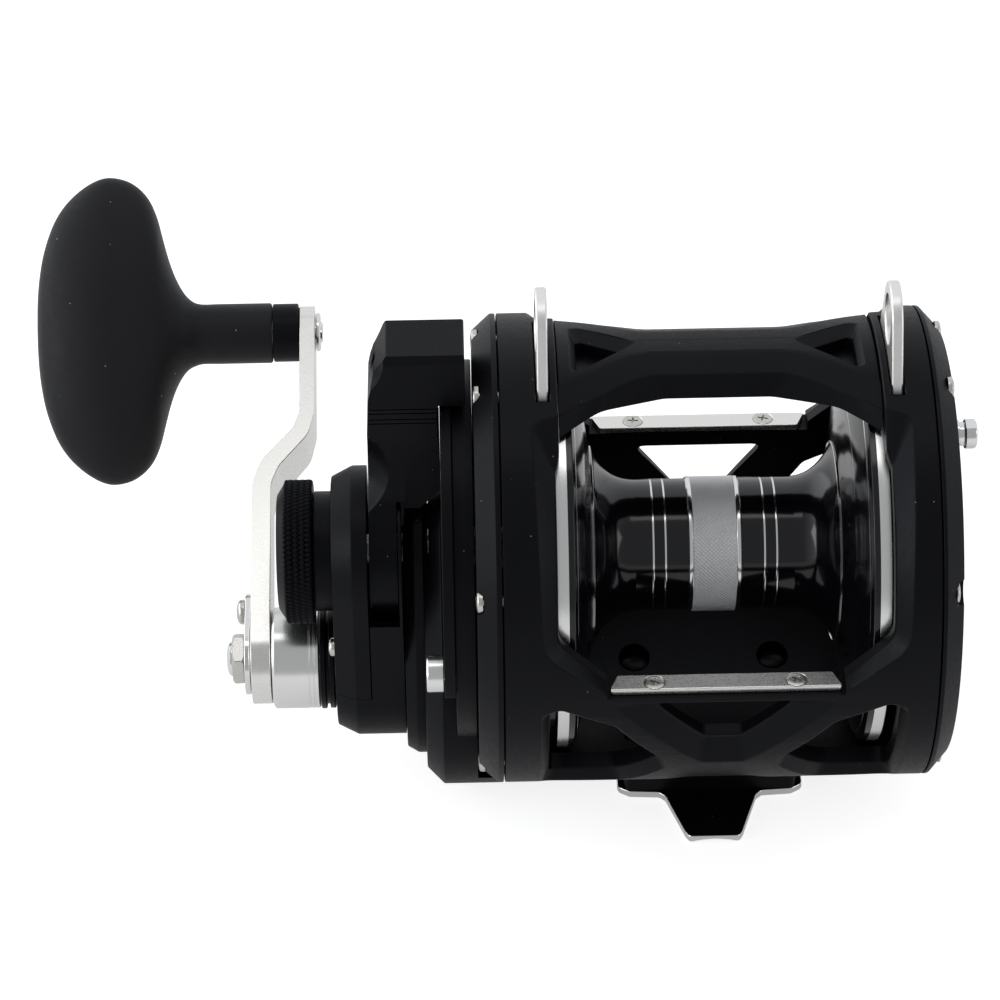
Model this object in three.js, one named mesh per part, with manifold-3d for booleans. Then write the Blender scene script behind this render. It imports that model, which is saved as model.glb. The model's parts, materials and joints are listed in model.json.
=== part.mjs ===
// A right-hand lever-drag trolling reel with a two-speed gearbox, as separate pieces.
// Millimetres, +Z up. The origin is the middle of the foot's underside. The spool axis is
// parallel to X, the handle is on the -X side, and -Y is the side that faces the water.
//
// Angles about the spool axis are measured in degrees from the front (-Y) up towards +Z.

import * as THREE from 'three';
import { mergeVertices } from 'three/addons/utils/BufferGeometryUtils.js';
import Module from 'manifold-3d';

const wasm = await Module();
wasm.setup();

// ---------------------------------------------------------------- driving dimensions

const AXIS_HEIGHT = 67; // spool axis above the foot's underside
const GAP = 0.3; // clearance between pieces that lie against each other

const FRAME_RADIUS = 58.5;
const FRAME_BORE = 51.5;
const FRAME_X = [-52.8, 50.8];
const WINDOW_HALF = 40; // half the width of the open windows between the rings
const GUARD_TOP = -0.4; // top of the line guards below the spool axis
const GUARD_THICK = 1.7;
const GUARD_SCREW_X = 17;
const GUARD_SCREW_Y = 54.4;

const COVER_OUT = -59.1; // outer face of the handle side cover
const TAIL_OUT = 56.5;
const SIDE_SCREW_RING = 53.3;
const SIDE_SCREW_ANGLES = [110, 79.5, 23, -44, -110, -177];

const BAR_RADIUS = 57;
const BAR_ANGLE = 97.25;
const BAR_HALF = 38.6;

const LUG_X = 42.4; // middle of each harness lug's thickness
const LUG_THICK = 2.8;
const LUG_HOLE_Z = 66.3;
const LUG_HOLE_RADIUS = 6;
const LUG_RADIUS = 9.25;
const LUG_BASE_RADIUS = 54.2;

const FOOT_THICK = 2;
const FOOT_WING = [23.7, 20]; // half width and half length of the wide middle
const FOOT_TAB = [11.6, 6.8, 39]; // half width at the root, at the tip, and reach
const FOOT_SCREW = [18, 16];

const MODULE = 1.25; // gear module
const TEETH = { mainHigh: 42, pinionHigh: 12, mainLow: 34, pinionLow: 20 };
const GEAR_DISTANCE = (MODULE * (TEETH.mainHigh + TEETH.pinionHigh)) / 2;
const CRANK_Z = -GEAR_DISTANCE; // crank axis below the spool axis
const HIGH_GEAR_X = [-70.2, -66.4];
const LOW_GEAR_X = [-64.4, -60.4];
const RATCHET_TEETH = 24;
const PAWL_HELD_OFF = 11; // degrees from the bottom of a tooth gap

const SHAFT_RADIUS = 4;
const CRANK_SHAFT_RADIUS = 6;

const QUADRANT_RADIUS = 48.6;
const QUADRANT_X = [-67.2, -64.7];
const STOP_BUTTON = { radius: 4.65, ring: 43, angle: -7.5 };
const LEVER_LENGTH = 63.5;

const CRANK_ANGLE = 152; // direction of the crank arm at rest
const CRANK_LENGTH = 94;
const GRIP_ANGLE = 126.9; // direction of the T grip's long axis at rest
const GRIP_HALF = 41;

// ---------------------------------------------------------------- solid helpers

const DEG = Math.PI / 180;
const ROUND = 45; // facets around the largest cylinders

/** [y, z] of a point at a radius and an angle about an X-parallel axis. */
const polar = (radius, angle, z = 0) => [
  -radius * Math.cos(angle * DEG),
  z + radius * Math.sin(angle * DEG),
];

/** A closed manifold solid from any closed geometry, with its faces turned outwards. */
function solid(geometry) {
  const bare = geometry.index ? geometry.toNonIndexed() : geometry.clone();
  bare.deleteAttribute('normal');
  bare.deleteAttribute('uv');
  const merged = mergeVertices(bare, 1e-4);
  const position = merged.attributes.position.array;
  const triangles = [];
  let volume = 0;
  for (let i = 0; i < merged.index.count; i += 3) {
    const [a, b, c] = [0, 1, 2].map((k) => merged.index.array[i + k]);
    if (a === b || b === c || c === a) continue;
    triangles.push([a, b, c]);
    const corner = [a, b, c].map((k) => new THREE.Vector3().fromArray(position, 3 * k));
    volume += corner[0].dot(corner[1].cross(corner[2]));
  }
  const order = volume < 0 ? [0, 2, 1] : [0, 1, 2];
  const triVerts = Uint32Array.from(triangles.flatMap((t) => order.map((k) => t[k])));
  return new wasm.Manifold(new wasm.Mesh({ numProp: 3, vertProperties: position, triVerts }));
}

/** The union of several solids. */
const join = (...solids) => solids.flat().reduce((all, next) => all.add(next));

/** The first solid with all the others cut out of it. */
const cut = (body, ...tools) => tools.flat().reduce((left, tool) => left.subtract(tool), body);

/** A solid of revolution about an X-parallel axis, from [x, radius] points. */
function revolve(profile, segments = 48, y = 0, z = 0) {
  const closed = profile[0][1] > 0 ? [...profile, profile[0]] : profile;
  const points = closed.map(([x, r]) => new THREE.Vector2(r, x));
  const geometry = new THREE.LatheGeometry(points, segments);
  geometry.rotateZ(-Math.PI / 2);
  geometry.translate(0, y, z);
  return solid(geometry);
}

const disc = (x0, x1, radius, segments = 32, y = 0, z = 0) =>
  revolve([[x0, 0], [x0, radius], [x1, radius], [x1, 0]], segments, y, z);

const ring = (x0, x1, outer, inner, segments = 32, y = 0, z = 0) =>
  revolve([[x0, inner], [x0, outer], [x1, outer], [x1, inner]], segments, y, z);

const shapeOf = (points) => new THREE.Shape(points.map(([u, v]) => new THREE.Vector2(u, v)));

/** Extrudes an outline drawn in (Y, Z) along X. A chamfer is [width, depth] at the x0 end. */
function prismX(shape, x0, x1, curveSegments = 12, chamfer = null) {
  const [size, thick] = chamfer ?? [0, 0];
  const geometry = new THREE.ExtrudeGeometry(shape, {
    depth: x1 - x0 - thick,
    curveSegments,
    bevelEnabled: chamfer !== null,
    bevelSegments: 1,
    bevelSize: size,
    bevelThickness: thick,
    bevelOffset: -size,
  });
  geometry.applyMatrix4(new THREE.Matrix4().set(0, 0, 1, x0 + thick, 1, 0, 0, 0, 0, 1, 0, 0, 0, 0, 0, 1));
  const whole = solid(geometry);
  return chamfer === null ? whole : whole.subtract(disc(x1, x1 + thick + 1, 120, 12));
}

/** Extrudes an outline drawn in (X, Y) along Z. */
function prismZ(shape, z0, z1, curveSegments = 8) {
  const geometry = new THREE.ExtrudeGeometry(shape, {
    depth: z1 - z0,
    bevelEnabled: false,
    curveSegments,
  });
  geometry.translate(0, 0, z0);
  return solid(geometry);
}

/** Extrudes an outline drawn in (X, Z) along Y. */
function prismY(shape, y0, y1) {
  const geometry = new THREE.ExtrudeGeometry(shape, { depth: y1 - y0, bevelEnabled: false });
  geometry.rotateX(Math.PI / 2);
  geometry.translate(0, y1, 0);
  return solid(geometry);
}

const box = (x, y, z) => {
  const geometry = new THREE.BoxGeometry(x[1] - x[0], y[1] - y[0], z[1] - z[0]);
  geometry.translate((x[0] + x[1]) / 2, (y[0] + y[1]) / 2, (z[0] + z[1]) / 2);
  return solid(geometry);
};

/** A vertical cylinder. */
function post(x, y, z0, z1, radius, segments = 12) {
  const geometry = new THREE.CylinderGeometry(radius, radius, z1 - z0, segments);
  geometry.rotateX(Math.PI / 2);
  geometry.translate(x, y, (z0 + z1) / 2);
  return solid(geometry);
}

const WRAP_STEP = 8; // degrees turned by one edge of a wrapped outline

/** Splits each edge of an outline of [x, angle] points into a number of equal pieces. */
function subdivide(points, counts) {
  const out = [];
  points.forEach((point, i) => {
    const next = points[(i + 1) % points.length];
    for (let k = 0; k < counts[i]; k += 1) {
      const t = k / counts[i];
      out.push([point[0] + (next[0] - point[0]) * t, point[1] + (next[1] - point[1]) * t]);
    }
  });
  return out;
}

/**
 * A solid wrapped around the spool axis. Each level is [radius, outline], where every outline
 * is a list of [x, angle] points and all of them have the same number of points.
 */
function wrapped(...levels) {
  const first = levels[0][1];
  const counts = first.map((point, i) => {
    const next = first[(i + 1) % first.length];
    return Math.max(1, Math.ceil(Math.abs(next[1] - point[1]) / WRAP_STEP));
  });
  const outlines = levels.map(([, points]) => subdivide(points, counts));
  const steps = levels.length - 1;
  const geometry = new THREE.ExtrudeGeometry(shapeOf(outlines[0]), {
    depth: steps,
    steps,
    bevelEnabled: false,
  });
  const position = geometry.attributes.position;
  const nearest = (x, a) =>
    outlines[0].reduce((best, p, i) => {
      const miss = Math.hypot(p[0] - x, p[1] - a);
      return miss < best[1] ? [i, miss] : best;
    }, [0, Infinity])[0];
  for (let i = 0; i < position.count; i += 1) {
    const level = Math.round(position.getZ(i));
    const [x, angle] = outlines[level][nearest(position.getX(i), position.getY(i))];
    const [y, z] = polar(levels[level][0], angle);
    position.setXYZ(i, x, y, z);
  }
  return solid(geometry);
}

/** An outline moved outwards by a distance, corner by corner. */
function grow(points, distance) {
  const area = points.reduce((sum, p, i) => {
    const q = points[(i + 1) % points.length];
    return sum + p[0] * q[1] - q[0] * p[1];
  }, 0);
  const turn = Math.sign(area);
  const normal = (p, q) => {
    const length = Math.hypot(q[0] - p[0], q[1] - p[1]);
    return [(turn * (q[1] - p[1])) / length, (-turn * (q[0] - p[0])) / length];
  };
  return points.map((p, i) => {
    const before = normal(points[(i + points.length - 1) % points.length], p);
    const after = normal(p, points[(i + 1) % points.length]);
    const scale = distance / (1 + before[0] * after[0] + before[1] * after[1]);
    return [p[0] + (before[0] + after[0]) * scale, p[1] + (before[1] + after[1]) * scale];
  });
}

const mirrorX = (points) => points.map(([x, a]) => [-x, a]);
const mirrorY = (points) => points.map(([x, a]) => [x, 180 - a]);

/** The outline around two circles whose centres are on the Z axis, upper one first. */
function twoCircles([zTop, rTop], [zLow, rLow]) {
  const tilt = Math.asin((rLow - rTop) / (zTop - zLow));
  const shape = new THREE.Shape();
  shape.absarc(0, zTop, rTop, tilt, Math.PI - tilt, false);
  shape.absarc(0, zLow, rLow, Math.PI - tilt, 2 * Math.PI + tilt, false);
  return shape;
}

// ---------------------------------------------------------------- the group and its materials

const reel = new THREE.Group();
const aboutSpool = new THREE.Group(); // origin on the spool axis
aboutSpool.position.z = AXIS_HEIGHT;
reel.add(aboutSpool);

const finish = (color, roughness, metalness) =>
  new THREE.MeshStandardMaterial({ color, roughness, metalness });

const BLACK = finish(0x15161a, 0.45, 0.6);
const GLOSS = finish(0x0a0a0c, 0.12, 0.8);
const SILVER = finish(0xc9cacd, 0.22, 1);
const STEEL = finish(0xa8a9ab, 0.3, 1);
const GRIP = finish(0x141416, 0.75, 0);
const BRASS = finish(0xb08d4a, 0.35, 1);
const CARBON = finish(0x1c1c1e, 0.6, 0);

function place(name, body, material, parent = aboutSpool) {
  const data = body.getMesh();
  const geometry = new THREE.BufferGeometry();
  geometry.setAttribute('position', new THREE.BufferAttribute(data.vertProperties, 3));
  geometry.setIndex(new THREE.BufferAttribute(data.triVerts, 1));
  geometry.computeVertexNormals();
  const mesh = new THREE.Mesh(geometry, material);
  mesh.name = name;
  parent.add(mesh);
  return mesh;
}

// ---------------------------------------------------------------- frame

/** The open window above the line guard at the front, up to the middle of the top. */
const windowInner = [
  [28, 0], [WINDOW_HALF, 12], [WINDOW_HALF, 55], [38.9, 60], [38.9, 90],
  [-38.9, 90], [-38.9, 60], [-WINDOW_HALF, 55], [-WINDOW_HALF, 12], [-28, 0],
];
const windowOuter = [
  [28.2, -1], [43.5, 10], [45.4, 56], [38.9, 61], [38.9, 90],
  [-38.9, 90], [-38.9, 61], [-45.4, 56], [-43.5, 10], [-28.2, -1],
];

/** The three-cornered windows either side of the lower cross brace. */
const sideWindow = [[42, -8.5], [39.5, -7.5], [27.5, -13], [16, -28], [16, -31.5], [26, -47], [42, -52]];

/** The recess and the hole between the upper arms of the cross brace. */
const recessOuter = [[27, -3.6], [5, -29], [-5, -29], [-27, -3.6]];
const recessInner = [[19, -6], [3.5, -23], [-3.5, -23], [-19, -6]];
const recessHole = [[15, -7.2], [4, -20], [-4, -20], [-15, -7.2]];

/** The shallow arch above each end of the foot. */
const footArch = [[14, -50], [8, -43], [-8, -43], [-14, -50], [-14, -62], [14, -62]];

function frameCutters(flip) {
  const at = (points) => flip(points);
  const sides = [sideWindow, mirrorX(sideWindow)];
  return [
    wrapped(
      [30, at(windowInner)], [55, at(windowInner)], [FRAME_RADIUS, at(windowOuter)], [110, at(windowOuter)],
    ),
    ...sides.map((side) =>
      wrapped([40, at(side)], [55.5, at(side)], [FRAME_RADIUS, at(grow(side, 2))], [80, at(grow(side, 2))]),
    ),
    wrapped([54.6, at(recessInner)], [FRAME_RADIUS, at(recessOuter)], [75, at(recessOuter)]),
    wrapped([45, at(recessHole)], [60, at(recessHole)]),
    wrapped([54.5, at(footArch)], [75, at(footArch)]),
  ];
}

function screwHoles(x0, x1, radius) {
  return SIDE_SCREW_ANGLES.map((angle) => disc(x0, x1, radius, 8, ...polar(SIDE_SCREW_RING, angle)));
}

function makeFrame() {
  const shell = ring(...FRAME_X, FRAME_RADIUS, FRAME_BORE, ROUND);
  const pad = cut(
    box([-22, 22], [-18.5, 18.5], [-AXIS_HEIGHT + FOOT_THICK, -50]),
    disc(-30, 30, FRAME_BORE + 2, ROUND),
  );
  const ledges = [-1, 1].map((side) =>
    box([-28.5, 28.5], [side > 0 ? 50 : -60, side > 0 ? 60 : -50], [GUARD_TOP - GUARD_THICK - GAP, 3]),
  );
  const guardHoles = [-1, 1].flatMap((side) =>
    [-1, 1].map((end) => post(end * GUARD_SCREW_X, side * GUARD_SCREW_Y, -4.6, 0, 1.5, 10)),
  );
  const footHoles = [-1, 1].flatMap((side) =>
    [-1, 1].flatMap((end) => {
      const [x, y] = [end * FOOT_SCREW[0], side * FOOT_SCREW[1]];
      return [post(x, y, -70, -40, 2.3), post(x, y, -52.3, -40, 4.1)];
    }),
  );
  const lugSlot = [[LUG_X - 1.7, 73], [LUG_X + 1.7, 73], [LUG_X + 1.7, 107], [LUG_X - 1.7, 107]];
  return cut(
    join(shell, pad),
    frameCutters((points) => points),
    frameCutters(mirrorY),
    ledges,
    guardHoles,
    footHoles,
    [lugSlot, mirrorX(lugSlot)].map((slot) => wrapped([LUG_BASE_RADIUS - GAP, slot], [75, slot])),
    screwHoles(-54, -46, 1.6),
  );
}

function makeTopBar() {
  const land = [
    [60, 20], [34, 20], [19, 5.75], [-19, 5.75], [-34, 20], [-60, 20],
    [-60, -20], [-34, -20], [-19, -5.75], [19, -5.75], [34, -20], [60, -20],
  ].map(([x, a]) => [x, a + BAR_ANGLE]);
  const shoulder = grow(land, 7);
  const skirt = grow(land, 12);
  const pocket = [[35.4, 9.5], [35.4, -11.5], [33.5, -12], [18.8, 0], [33.5, 10]].map(
    ([x, a]) => [x, a + BAR_ANGLE - 1],
  );
  const hole = [[33.8, 4], [33.8, -9.5], [32.5, -10], [23.5, -3], [32.5, 4]].map(
    ([x, a]) => [x, a + BAR_ANGLE - 1],
  );
  const faceted = wrapped([40, skirt], [FRAME_BORE, skirt], [55.4, shoulder], [BAR_RADIUS, land], [90, land]);
  const body = faceted.intersect(ring(-BAR_HALF, BAR_HALF, BAR_RADIUS, FRAME_BORE, ROUND));
  return cut(
    body,
    [pocket, mirrorX(pocket)].map((p) => wrapped([54, grow(p, -1.2)], [BAR_RADIUS, p], [70, p])),
    [hole, mirrorX(hole)].map((p) => wrapped([45, p], [60, p])),
  );
}

function makeLug(side) {
  const half = LUG_THICK / 2;
  const shape = new THREE.Shape();
  const spread = 15.4;
  for (let angle = 90 - spread; angle <= 90 + spread + 0.1; angle += spread / 4) {
    const [y, z] = polar(LUG_BASE_RADIUS, angle);
    if (angle === 90 - spread) shape.moveTo(y, z);
    else shape.lineTo(y, z);
  }
  const shoulder = polar(LUG_BASE_RADIUS + 2.4, 90 + spread);
  shape.lineTo(...shoulder);
  shape.absarc(0, LUG_HOLE_Z, LUG_RADIUS, 20 * DEG, 160 * DEG, false);
  shape.lineTo(-shoulder[0], shoulder[1]);
  const hole = new THREE.Path();
  hole.absarc(0, LUG_HOLE_Z, LUG_HOLE_RADIUS, 0, 2 * Math.PI, true);
  shape.holes.push(hole);
  return prismX(shape, side * LUG_X - half, side * LUG_X + half, 10);
}

function makeGuard(side) {
  const outline = [[-28, 57], [28, 57], [25.8, 51.4], [-25.8, 51.4]].map(([x, y]) => [x, side * y]);
  const plate = prismZ(shapeOf(outline), GUARD_TOP - GUARD_THICK, GUARD_TOP);
  const holes = [-1, 1].map((end) => {
    const [x, y] = [end * GUARD_SCREW_X, side * GUARD_SCREW_Y];
    return [post(x, y, -5, 2, 1.5, 10), post(x, y, GUARD_TOP - 0.9, 2, 2.8, 16)];
  });
  return cut(plate, ...holes.flat());
}

function makeGuardScrew(end, side) {
  const [x, y] = [end * GUARD_SCREW_X, side * GUARD_SCREW_Y];
  return join(post(x, y, -4.3, -1.2, 1.2, 10), post(x, y, -1.2, GUARD_TOP, 2.5, 16));
}

function makeFoot() {
  const [halfX, halfY] = FOOT_WING;
  const [root, tip, reach] = FOOT_TAB;
  const quarter = [[halfX, 0], [halfX, halfY - 2], [halfX - 3, halfY], [root + 1.5, halfY + 0.5],
    [root, halfY + 2], [tip + 1, reach - 2], [tip, reach]];
  const top = [...quarter, ...quarter.slice().reverse().map(([x, y]) => [-x, y])].filter(
    ([x, y], i, all) => i === 0 || x !== all[i - 1][0] || y !== all[i - 1][1],
  );
  const lower = top.slice(1, -1).reverse().map(([x, y]) => [x, -y]);
  const bottom = -AXIS_HEIGHT;
  const plate = prismZ(shapeOf([...top, ...lower]), bottom, bottom + FOOT_THICK);
  const saddleRadius = 20;
  const saddle = (y0, y1) => {
    const geometry = new THREE.CylinderGeometry(saddleRadius, saddleRadius, y1 - y0, 64);
    geometry.translate(0, (y0 + y1) / 2, bottom + 1.1 - saddleRadius);
    return solid(geometry);
  };
  const holes = [-1, 1].flatMap((side) =>
    [-1, 1].map((end) => post(end * FOOT_SCREW[0], side * FOOT_SCREW[1], -70, -60, 2.3)),
  );
  return cut(plate, saddle(24, 45), saddle(-45, -24), holes);
}

function makeFootScrew(end, side) {
  const [x, y] = [end * FOOT_SCREW[0], side * FOOT_SCREW[1]];
  return join(post(x, y, -AXIS_HEIGHT + 0.3, -51.5, 2), post(x, y, -52, -49.4, 3.75, 16));
}

// ---------------------------------------------------------------- side covers

const PAWL_PIVOT = polar(31, 60);

function makeHandleCover() {
  const left = FRAME_X[0] - GAP;
  const body = revolve([
    [left, 50], [left, FRAME_RADIUS], [-54.4, FRAME_RADIUS], [COVER_OUT, 54.3],
    [COVER_OUT, 10.3], [-55, 10.3], [-55, 13], [-56.4, 13], [-56.4, 50],
  ], ROUND);
  const pawlPost = disc(-56.6, -46.2, 1.9, 10, ...PAWL_PIVOT);
  return cut(
    join(body, pawlPost),
    screwHoles(-60, -52, 1.6),
    screwHoles(-60, -57.4, 3.1),
  );
}

function makeTailCover() {
  const right = FRAME_X[1] + GAP;
  const body = revolve([
    [48, 8.3], [48, 11], [54.4, 11], [54.4, 50], [right, 50], [right, FRAME_RADIUS], [52, FRAME_RADIUS],
    [TAIL_OUT, 53.5], [57.3, 30], [57.4, 0], [52.6, 0], [52.6, 8.3],
  ], ROUND);
  const slot = new THREE.Shape();
  slot.absarc(0, 32, 2.3, 0, Math.PI, false);
  slot.absarc(0, 27, 2.3, Math.PI, 2 * Math.PI, false);
  return cut(body, prismX(slot, 50, 60, 6));
}

function makeSideScrew(angle) {
  const centre = polar(SIDE_SCREW_RING, angle);
  return join(disc(-59.4, -57.7, 2.75, 16, ...centre), disc(-58, -47, 1.3, 8, ...centre));
}

// ---------------------------------------------------------------- gearbox

const GEARBOX_X = [-72.1, -53.3];

function makeGearbox() {
  const outline = twoCircles([0, 17.3], [CRANK_Z, 32.8]);
  const block = prismX(outline, ...GEARBOX_X, 10, [4.2, 4.2]);
  const drum = ring(-64.4, COVER_OUT - GAP, 47.2, 43.5, 40);
  const face = disc(-64.4, -62.7, 47.2, 40);
  return cut(
    join(block, drum, face),
    disc(COVER_OUT - GAP, -50, FRAME_RADIUS + GAP, ROUND),
    disc(-70.9, COVER_OUT, 28.8, 28, 0, CRANK_Z),
    disc(-70.9, COVER_OUT, 14.6, 20),
    disc(-75, -65, 5.7, 20),
    disc(-75, -65, 7, 20, 0, CRANK_Z),
    disc(-68, -55, 2.1, 12, ...polar(STOP_BUTTON.ring, STOP_BUTTON.angle)),
  );
}

function makeGearboxCap() {
  const outline = twoCircles([0, 14.8], [CRANK_Z, 24.7]);
  return cut(
    prismX(outline, -77, GEARBOX_X[0] - GAP, 9, [1.6, 2.8]),
    disc(-80, -70, 5, 16),
    disc(-77.5, -72.8, 10.3, 24, 0, CRANK_Z),
    disc(-80, -70, 7, 20, 0, CRANK_Z),
  );
}

const BOSS = [[0, 20.4], [CRANK_Z, 19.8]];
const BOSS_X = [-94.6, -77.3];
const LEVER_SLOT_X = [-85.5, -78];
const SEAM_Z = -32; // where the hub cover meets the boss

function makeBoss() {
  const outline = twoCircles(...BOSS);
  return cut(
    prismX(outline, ...BOSS_X, 9, [2.6, 5.2]),
    disc(...LEVER_SLOT_X, 22.5, 32),
    box(LEVER_SLOT_X, [-30, 30], [-5, 30]),
    cut(
      box([-100, LEVER_SLOT_X[0] + 0.02], [-30, 30], [SEAM_Z, 40]),
      disc(-101, -80, 13.5, 32, 0, CRANK_Z),
    ),
    disc(-100, -70, 5, 16),
    disc(-100, -70, 7, 20, 0, CRANK_Z),
    disc(-94, -89.8, 10.3, 24, 0, CRANK_Z),
  );
}

function makeHubCover() {
  const outline = twoCircles(...BOSS);
  const shell = cut(
    prismX(outline, ...BOSS_X, 9, [2.6, 5.2]),
    box([LEVER_SLOT_X[0] - GAP, -60], [-40, 40], [-80, 40]),
    box([-100, -60], [-40, 40], [-80, SEAM_Z + GAP]),
    disc(-100, -80, 13.8, 32, 0, CRANK_Z),
  );
  return cut(
    join(shell, disc(-99, -94, 15, 40)),
    disc(-97.6, -80, 12.5, 24),
    disc(-100, -80, 5, 16),
  );
}

function makeQuadrant() {
  const points = [];
  for (let angle = -11.5; angle <= 152; angle += 163.5 / 26) points.push(polar(QUADRANT_RADIUS, angle));
  const outline = shapeOf([...points, polar(21, 152), polar(12, 60), polar(21, -11.5)]);
  return cut(
    prismX(outline, ...QUADRANT_X),
    prismX(twoCircles([0, 17.3 + GAP], [CRANK_Z, 32.8 + GAP]), -75, -60, 20),
    disc(-70, -60, 2.1, 12, ...polar(STOP_BUTTON.ring, STOP_BUTTON.angle)),
  );
}

function makeStopButton() {
  const centre = polar(STOP_BUTTON.ring, STOP_BUTTON.angle);
  return join(
    disc(-71.6, -69.9, STOP_BUTTON.radius, 24, ...centre),
    disc(-70, -63.2, 1.8, 12, ...centre),
  );
}

// ---------------------------------------------------------------- drag lever and preset knob

function makeLever() {
  const side = shapeOf([
    [-85.2, 10], [-84.7, 39], [-83.4, 57.5], [-79.8, LEVER_LENGTH], [-60.9, LEVER_LENGTH],
    [-60.9, 49.3], [-67.8, 49.3], [-68, 36], [-72.6, 33.2], [-75.2, 28.6], [-78.3, 21], [-78.3, 10],
  ]);
  const front = new THREE.Shape();
  front.absarc(0, 0, 18, 180 * DEG, 360 * DEG, false);
  [[18, 2], [9.5, 22], [6.8, 36], [8.5, 49], [8.5, 61], [6, 70], [-6, 70], [-8.5, 61], [-8.5, 49],
    [-6.8, 36], [-9.5, 22], [-18, 2]].forEach(([y, z]) => front.lineTo(y, z));
  const arm = prismY(side, -20, 20);
  const hub = disc(-85.2, -78.3, 18, 40);
  return cut(join(arm, hub).intersect(prismX(front, -90, -55, 16)), disc(-90, -70, 5, 20));
}

function makePresetKnob() {
  const flutes = 24;
  const outline = [];
  for (let i = 0; i < flutes; i += 1) {
    const angle = (360 * i) / flutes;
    outline.push(polar(18, angle - 3.2), polar(18, angle + 3.2), polar(17.3, angle + 7.5));
  }
  return cut(
    join(
      prismX(shapeOf(outline), -106.4, -99.3),
      revolve([[-108.2, 0], [-108.2, 15], [-106.3, 17], [-106.3, 0]], 32),
    ),
    disc(-105, -99, 5, 16),
  );
}

// ---------------------------------------------------------------- spool and drag

const halfProfile = [
  [5.6, 16.4], [19.5, 16.4], [25, 18.2], [30.1, 24.75], [32.5, 38.8], [35.1, 48.8],
  [37, 50], [39.9, 50],
];

function makeSpool() {
  const right = halfProfile;
  const left = right.slice().reverse().map(([x, r]) => [-x, r]);
  const hollow = [
    [39.9, 42], [36.5, 42], [33, 20], [32, 9.3], [26, 9.3], [26, 5.2],
  ];
  const inside = [...hollow, ...hollow.slice().reverse().map(([x, r]) => [-x, r])];
  return revolve([...left, [-5.4, 16.8], [5.4, 16.8], ...right, ...inside], 32);
}

function ratchet(x0, x1, teeth, outer, root, bore) {
  const outline = [];
  for (let i = 0; i < teeth; i += 1) {
    const angle = (360 * i) / teeth;
    outline.push(polar(root, angle), polar(outer, angle + 1), polar(root, angle + 360 / teeth - 3));
  }
  return cut(prismX(shapeOf(outline), x0, x1), disc(x0 - 1, x1 + 1, bore, 16));
}

/** The clicker's ratchet on its sleeve, turned so that the tongue rests in a tooth gap. */
function makeClickRatchet() {
  const teeth = ratchet(40.3, 42.3, RATCHET_TEETH, 22, 20, 12).rotate([-1.9, 0, 0]);
  return join(teeth, ring(32.9, 40.4, 16, 12, 24));
}

function makePressurePlate() {
  return revolve([
    [-71, 4.4], [-71, 5.2], [-45.2, 5.2], [-45.2, 12], [-44, 12], [-44, 46], [-41.8, 46], [-41.8, 4.4],
  ], 28);
}

/** The anti-reverse pawl, held just clear of the ratchet's teeth as it is while the reel winds. */
function makePawl() {
  const underside = [[22.35, 89.6], [22.35, 88.2], [23.5, 85], [25.4, 76], [27.5, 65]];
  const around = [[27.5, 55], [31, 51.5], [34, 56], [34.2, 64], [32, 72], [25.6, 90.2]];
  const outline = shapeOf([...underside, ...around].map(([radius, angle]) => polar(radius, angle)));
  const dropped = cut(prismX(outline, -48.9, -46.3), disc(-52, -44, 2.2, 12, ...PAWL_PIVOT));
  const [y, z] = PAWL_PIVOT;
  return dropped.translate([0, -y, -z]).rotate([PAWL_HELD_OFF, 0, 0]).translate([0, y, z]);
}

// ---------------------------------------------------------------- gears

function gear(teeth, x0, x1, bore, z, phase) {
  const pitch = (MODULE * teeth) / 2;
  const backlash = 0.45;
  const outline = [];
  for (let i = 0; i < teeth; i += 1) {
    const angle = phase + (360 * i) / teeth;
    const atPitch = 90 / teeth - (backlash / pitch / DEG) / 2;
    const slope = (radius) => ((radius - pitch) * Math.tan(20 * DEG)) / radius / DEG;
    const tip = pitch + MODULE * 0.85;
    const root = pitch - MODULE * 1.15;
    const wide = atPitch - slope(root);
    const thin = atPitch - slope(tip);
    outline.push(
      polar(root, angle - wide), polar(tip, angle - thin),
      polar(tip, angle + thin), polar(root, angle + wide),
    );
  }
  const body = prismX(shapeOf(outline), x0, x1);
  return cut(body, disc(x0 - 1, x1 + 1, bore, 16)).translate([0, 0, z]);
}

// A tooth of each main gear points straight up, into a tooth gap of its pinion.
const TOOTH_UP = 90;
const GAP_DOWN = (teeth) => -90 + 180 / teeth;

/** The high and low speed pinions, cut on one sleeve. */
function makePinions() {
  return join(
    gear(TEETH.pinionHigh, ...HIGH_GEAR_X, 5.5, 0, GAP_DOWN(TEETH.pinionHigh)),
    gear(TEETH.pinionLow, ...LOW_GEAR_X, 5.5, 0, GAP_DOWN(TEETH.pinionLow)),
    ring(HIGH_GEAR_X[1] - 0.5, LOW_GEAR_X[0] + 0.5, 5.95, 5.5, 24),
  );
}

// ---------------------------------------------------------------- crank

/** Turns a solid that points along +Z so that it points along the crank arm. */
const alongCrank = (body) => body.rotate([90 - CRANK_ANGLE, 0, 0]).translate([0, 0, CRANK_Z]);

function makeCrankArm() {
  const side = shapeOf([
    [-116.2, -12], [-116.2, 45], [-113.8, 52], [-105.6, 61.5], [-104, 66], [-104, 102],
    [-100, 102], [-100, 66], [-101.6, 59.5], [-109.2, 50.2], [-111.2, 45], [-111.2, -12],
  ]);
  const front = twoCircles([CRANK_LENGTH, 6.9], [0, 11.6]);
  const arm = prismY(side, -13, 13).intersect(prismX(front, -120, -95, 12));
  return cut(arm, disc(-118, -109, 6.3, 20), disc(-106, -98, 3.3, 16, 0, CRANK_LENGTH));
}

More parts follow.
